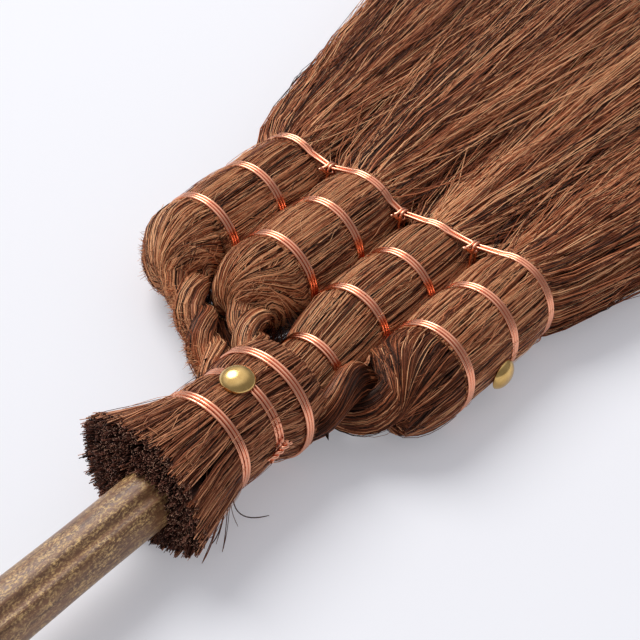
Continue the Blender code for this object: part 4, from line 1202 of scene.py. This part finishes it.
def makeTie():
    x, z, near = tieCourse().T
    # close to a stitch the three wires are drawn together and the middle one is pressed down
    near = np.maximum(near, 0.45 * np.maximum(np.roll(near, 1), np.roll(near, -1)))
    paths = []
    for row in range(3):
        y = np.interp(x, rowX, tie["y"]) + (row - 1) * tie["pitch"] * (1 - tie["narrow"] * near)
        points = np.stack([x, y, z - (tie["drop"] * near if row == 1 else 0)], axis=1)
        paths.append(np.concatenate([points, points[:1]]))
    wirePiece("rowTieWire", paths, "row_tie")


stitch = {"half": 0.0026, "over": 0.00120, "side": 0.00062, "bottom": 0.0022}


def makeStitch(number):
    # wire round the tie in one valley, down between the bundles and up again, its ends bent toward the handle
    x, top = tie["valleyX"][number - 1], tie["valleyZ"][number - 1]
    y = np.interp(x, rowX, tie["y"])
    half, over, side = stitch["half"], stitch["over"], stitch["side"]
    low = stitch["bottom"]
    route = [
        (-0.0022, -half - 0.0016, top - 0.0002), (-0.0013, -half - 0.0008, top + 0.0004),
        (-side, -half * 0.75, top + over * 0.7),
        (-side, 0.0, top + over * 1.15), (-side, half * 0.75, top + over * 0.6),
        (-side, half, top - 0.0012), (-side, half, (top + low) / 2), (-side, half * 0.8, low + 0.0008),
        (-side / 2, 0.0, low - 0.0006), (0.0, -half * 0.8, low + 0.0008), (0.0, -half, (top + low) / 2),
        (side, -half, top - 0.0012), (side, -half * 0.75, top + over * 0.7), (side, 0.0, top + over * 1.15),
        (side, half * 0.75, top + over * 0.6), (side * 1.3, half, top - 0.0012), (side, half * 0.4, top - 0.0032),
        (side / 2, -half * 0.6, top - 0.0026), (0.0004, -half - 0.0008, top - 0.0008),
        (-0.0004, -half - 0.0018, top + 0.0006), (-0.0010, -half - 0.0024, top + 0.0015),
    ]
    points = np.array([(x + sideways, y + along, height) for sideways, along, height in route])
    fine = np.linspace(0, len(points) - 1, len(points) * 3)
    smooth = np.stack([np.interp(fine, np.arange(len(points)), points[:, axis]) for axis in range(3)], axis=1)
    smooth[1:-1] = (smooth[:-2] + 2 * smooth[1:-1] + smooth[2:]) / 4
    wirePiece(f"tieStitchWire{number}", [smooth], f"tie_stitch_{number}")


makeTie()
for number in (1, 2, 3):
    makeStitch(number)
print("row tied")


# brass tacks

tack = {"radius": 0.00575, "height": 0.0034, "rim": 0.00045, "shankRadius": 0.0008, "shank": 0.0060}


def makeTack(name, node, seat, direction):
    shape = bmesh.new()
    outline = []
    for share in np.linspace(0, 1, 16):
        out = math.sin(share * math.pi / 2)
        rise = (tack["height"] - tack["rim"]) * max(0.0, 1 - out**2.3) ** 0.72
        outline.append((out * tack["radius"], tack["rim"] + rise))
    outline += [
        (tack["radius"] + 0.00008, tack["rim"] * 0.5), (tack["radius"] - 0.0001, 0.0),
        (tack["radius"] - 0.0008, 0.0001), (tack["shankRadius"], 0.0001), (tack["shankRadius"], -tack["shank"]),
        (0.0, -tack["shank"] - 0.0012),
    ]
    verts = [shape.verts.new((out, 0, high)) for out, high in outline]
    edges = [shape.edges.new(pair) for pair in zip(verts, verts[1:])]
    bmesh.ops.spin(shape, geom=verts + edges, cent=(0, 0, 0), axis=(0, 0, 1), dvec=(0, 0, 0),
                   angle=2 * math.pi, steps=48, use_merge=True)
    bmesh.ops.remove_doubles(shape, verts=shape.verts, dist=0.000002)
    bmesh.ops.recalc_face_normals(shape, faces=shape.faces)
    turned = Vector(direction).to_track_quat("Z", "Y").to_matrix().to_4x4()
    bmesh.ops.transform(shape, matrix=Matrix.Translation(seat) @ turned, verts=shape.verts)
    mesh = meshFrom(name, shape)
    mesh.materials.append(brassTack)
    mesh.shade_smooth()
    addPiece(name, mesh, node)


tackTurn = np.array([math.radians(88)])
onCollar = collarSurface(np.array([-0.0888]), tackTurn, np.array([-0.0015]))[0]
makeTack("collarTack", "collar_tack", onCollar, (math.cos(tackTurn[0]), -0.10, math.sin(tackTurn[0])))
for name, node, sign in (("sideTackLeft", "side_tack_left", -1), ("sideTackRight", "side_tack_right", 1)):
    low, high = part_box(node)
    bundle = bundles[1] if sign < 0 else bundles[4]
    seat = (bundle["x"] + sign * (bundle["halfWidth"] + gap), (low[1] + high[1]) / 2, (low[2] + high[2]) / 2)
    makeTack(name, node, seat, (sign, 0, 0))
print("tacks driven")


# bamboo handle

bamboo = {"innerY": -0.0705, "outerY": -0.3700, "chamfer": 0.0012, "joints": (-0.2380, -0.3560), "ridge": 0.0006,
          "ridgeHalf": 0.0025, "grooveDepth": 0.0011, "grooveHalf": 14, "grooveTurn": (60, 240), "swell": 0.00012}


def handleRows():
    # y and radius along the handle, from the free end to the collar
    radius = broom["handleRadius"]
    start, end = bamboo["outerY"], bamboo["innerY"]
    rows = [(start, radius - bamboo["chamfer"]), (start + 0.0005, radius - 0.0004),
            (start + bamboo["chamfer"], radius - 0.00008), (start + 0.0024, radius)]
    places = list(np.arange(start + 0.0080, end - 0.0010, 0.0045))
    for joint in bamboo["joints"]:
        places = [y for y in places if abs(y - joint) > 0.0050]
        places += [joint + offset * 0.0005 for offset in range(-9, 10)]
    for y in sorted(places):
        extra = bamboo["swell"] * math.sin(y * 90)
        for joint in bamboo["joints"]:
            away = abs(y - joint) / bamboo["ridgeHalf"]
            extra += bamboo["ridge"] * (math.exp(-((away - 0.42) / 0.34) ** 2) - 0.55 * math.exp(-(away / 0.16) ** 2))
        rows.append((y, radius + extra))
    return rows + [(end - 0.0006, radius), (end, radius - 0.0008)]


def grooveAt(y, turn):
    # a shallow channel along each length between joints, on opposite sides by turns
    upper, lower = bamboo["joints"]
    depth = 0.0
    for (low, high), degrees in zip(((upper, -0.060), (lower, upper)), bamboo["grooveTurn"]):
        away = (math.degrees(turn) - degrees + 180) % 360 - 180
        ends = min(1.0, max(0.0, (y - low - 0.003) / 0.006)) * min(1.0, max(0.0, (high - 0.003 - y) / 0.006))
        depth += bamboo["grooveDepth"] * max(0.0, 1 - (away / bamboo["grooveHalf"]) ** 2) * ends
    return depth


def makeHandle():
    rows = handleRows()
    shape = bmesh.new()
    axis = Vector((broom["handleX"], 0, broom["handleZ"]))
    bmesh.ops.create_circle(shape, segments=96, radius=rows[0][1])
    lay = Matrix.Translation((axis.x, rows[0][0], axis.z)) @ Matrix.Rotation(math.pi / 2, 4, "X")
    bmesh.ops.transform(shape, matrix=lay, verts=shape.verts)
    edges = shape.edges[:]
    for (lastY, lastRadius), (y, radius) in zip(rows, rows[1:]):
        grown = bmesh.ops.extrude_edge_only(shape, edges=edges)["geom"]
        verts = [item for item in grown if isinstance(item, bmesh.types.BMVert)]
        fresh = set(verts)
        edges = [item for item in grown if isinstance(item, bmesh.types.BMEdge) and fresh.issuperset(item.verts)]
        scale = radius / lastRadius
        bmesh.ops.scale(shape, vec=(scale, 1, scale), verts=verts, space=Matrix.Translation(-axis))
        bmesh.ops.translate(shape, vec=(0, y - lastY, 0), verts=verts)
    bmesh.ops.holes_fill(shape, edges=[edge for edge in shape.edges if edge.is_boundary])
    for vert in shape.verts:
        away = vert.co - axis
        away.y = 0
        if away.length > 0.005:
            vert.co -= away.normalized() * grooveAt(vert.co.y, math.atan2(away.z, away.x))
    bmesh.ops.recalc_face_normals(shape, faces=shape.faces)
    mesh = meshFrom("bambooHandle", shape)
    mesh.materials.append(speckledBamboo)
    mesh.shade_smooth()
    addPiece("bambooHandle", mesh, "bamboo_handle")


makeHandle()
print("handle turned")

# the pin inside the bundles stays as the CAD has it
for slot in frame["nodes"]["cross_pin"].material_slots:
    slot.material = speckledBamboo
for shape in profiles.values():
    bpy.data.objects.remove(shape, do_unlink=True)


# floor, light and camera

studio = {
    "floor": (0.80, 0.80, 0.83),
    "floorSeen": (0.70, 0.70, 0.722),
    "floorGlow": (0.240, 0.240, 0.254),
    "worldStrength": 0.46,
    "worldShine": 1.15,
    "dimShine": 0.32,
    "shineFrom": (-0.42, 0.10, 0.90),
    "shineSpan": (0.35, 0.95),
    "worldColour": (0.93, 0.94, 1.0),
    "keyPlace": (-2.42, 0.44, 3.12),
    "keySize": 2.70,
    "keyEnergy": 116.0,
}


def seenRays(tree):
    # 1 for what the camera sees, straight or in a reflection
    path = tree.nodes.new("ShaderNodeLightPath")
    seen = mathNode(tree, "MAXIMUM", path.outputs["Is Camera Ray"], path.outputs["Is Glossy Ray"])
    return mathNode(tree, "MAXIMUM", seen, path.outputs["Is Transmission Ray"])


def makeFloor():
    shape = bmesh.new()
    bmesh.ops.create_grid(shape, x_segments=1, y_segments=1, size=4.0)
    mesh = meshFrom("floor", shape)
    made, tree, shader = newMaterial("floorPaper", 0.85, specular=0.1)
    seen = seenRays(tree)
    plain = mixColour(tree, seen, (*studio["floor"], 1), (*studio["floorSeen"], 1))
    paper = noiseNode(tree, objectPlace(tree), 900.0)
    grain = mathNode(tree, "MULTIPLY_ADD", paper, 0.03)
    grain.node.inputs[2].default_value = 0.0
    join(tree, mixColour(tree, grain, plain, (1, 1, 1, 1)), shader.inputs["Base Color"])
    join(tree, mixColour(tree, seen, (0, 0, 0, 1), (*studio["floorGlow"], 1)), shader.inputs["Emission Color"])
    shader.inputs["Emission Strength"].default_value = 1.0
    mesh.materials.append(made)
    floor = linked("floor", mesh)
    floor.location.z = -0.0002


def makeWorld():
    world = bpy.data.worlds.new("studio")
    bpy.context.scene.world = world
    world.use_nodes = True
    tree = world.node_tree
    back = tree.nodes["Background"]
    back.inputs["Color"].default_value = (*studio["worldColour"], 1)
    # reflections show a bright ceiling on the lamp's side and a dim room elsewhere
    facing = tree.nodes.new("ShaderNodeVectorMath")
    facing.operation = "DOT_PRODUCT"
    join(tree, tree.nodes.new("ShaderNodeTexCoord").outputs["Generated"], facing.inputs[0])
    facing.inputs[1].default_value = studio["shineFrom"]
    room = tree.nodes.new("ShaderNodeMapRange")
    room.interpolation_type = "SMOOTHSTEP"
    low, high = studio["shineSpan"]
    for label, value in (("From Min", low), ("From Max", high), ("To Min", studio["dimShine"]),
                         ("To Max", studio["worldShine"])):
        room.inputs[label].default_value = value
    join(tree, facing.outputs["Value"], room.inputs["Value"])
    extra = mathNode(tree, "SUBTRACT", room.outputs["Result"], studio["worldStrength"])
    shine = mathNode(tree, "MULTIPLY", seenRays(tree), extra)
    join(tree, mathNode(tree, "ADD", shine, studio["worldStrength"]), back.inputs["Strength"])


def addLamp():
    lamp = bpy.data.lights.new("key", "AREA")
    lamp.shape = "DISK"
    lamp.size = studio["keySize"]
    lamp.energy = studio["keyEnergy"]
    lit = linked("key", lamp)
    lit.location = studio["keyPlace"]
    lit.rotation_euler = (-Vector(studio["keyPlace"])).to_track_quat("-Z", "Y").to_euler()


view = {"place": (0.2177, -0.3520, 0.3673), "azimuth": 34.85, "elevation": 41.35, "roll": 5.36, "lens": 84.88}


def addCamera():
    lens = bpy.data.cameras.new("camera")
    lens.lens = view["lens"]
    lens.sensor_width = 36.0
    lens.clip_start = 0.01
    camera = linked("camera", lens)
    turn, rise, roll = (math.radians(view[key]) for key in ("azimuth", "elevation", "roll"))
    back = Vector((math.sin(turn) * math.cos(rise), -math.cos(turn) * math.cos(rise), math.sin(rise)))
    right = (-back).cross(Vector((0, 0, 1))).normalized()
    above = right.cross(-back)
    axisX = right * math.cos(roll) + above * math.sin(roll)
    axisY = -right * math.sin(roll) + above * math.cos(roll)
    camera.matrix_world = Matrix((
        (axisX.x, axisY.x, back.x, view["place"][0]),
        (axisX.y, axisY.y, back.y, view["place"][1]),
        (axisX.z, axisY.z, back.z, view["place"][2]),
        (0, 0, 0, 1),
    ))
    bpy.context.scene.camera = camera


makeFloor()
makeWorld()
addLamp()
addCamera()
bpy.context.scene.view_settings.view_transform = "Standard"

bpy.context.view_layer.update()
total = sum(max(0, len(face.vertices) - 2) for thing in bpy.data.objects if thing.type == "MESH"
            and not thing.hide_render for face in thing.data.polygons)
print(f"scene ready, {total} triangles")
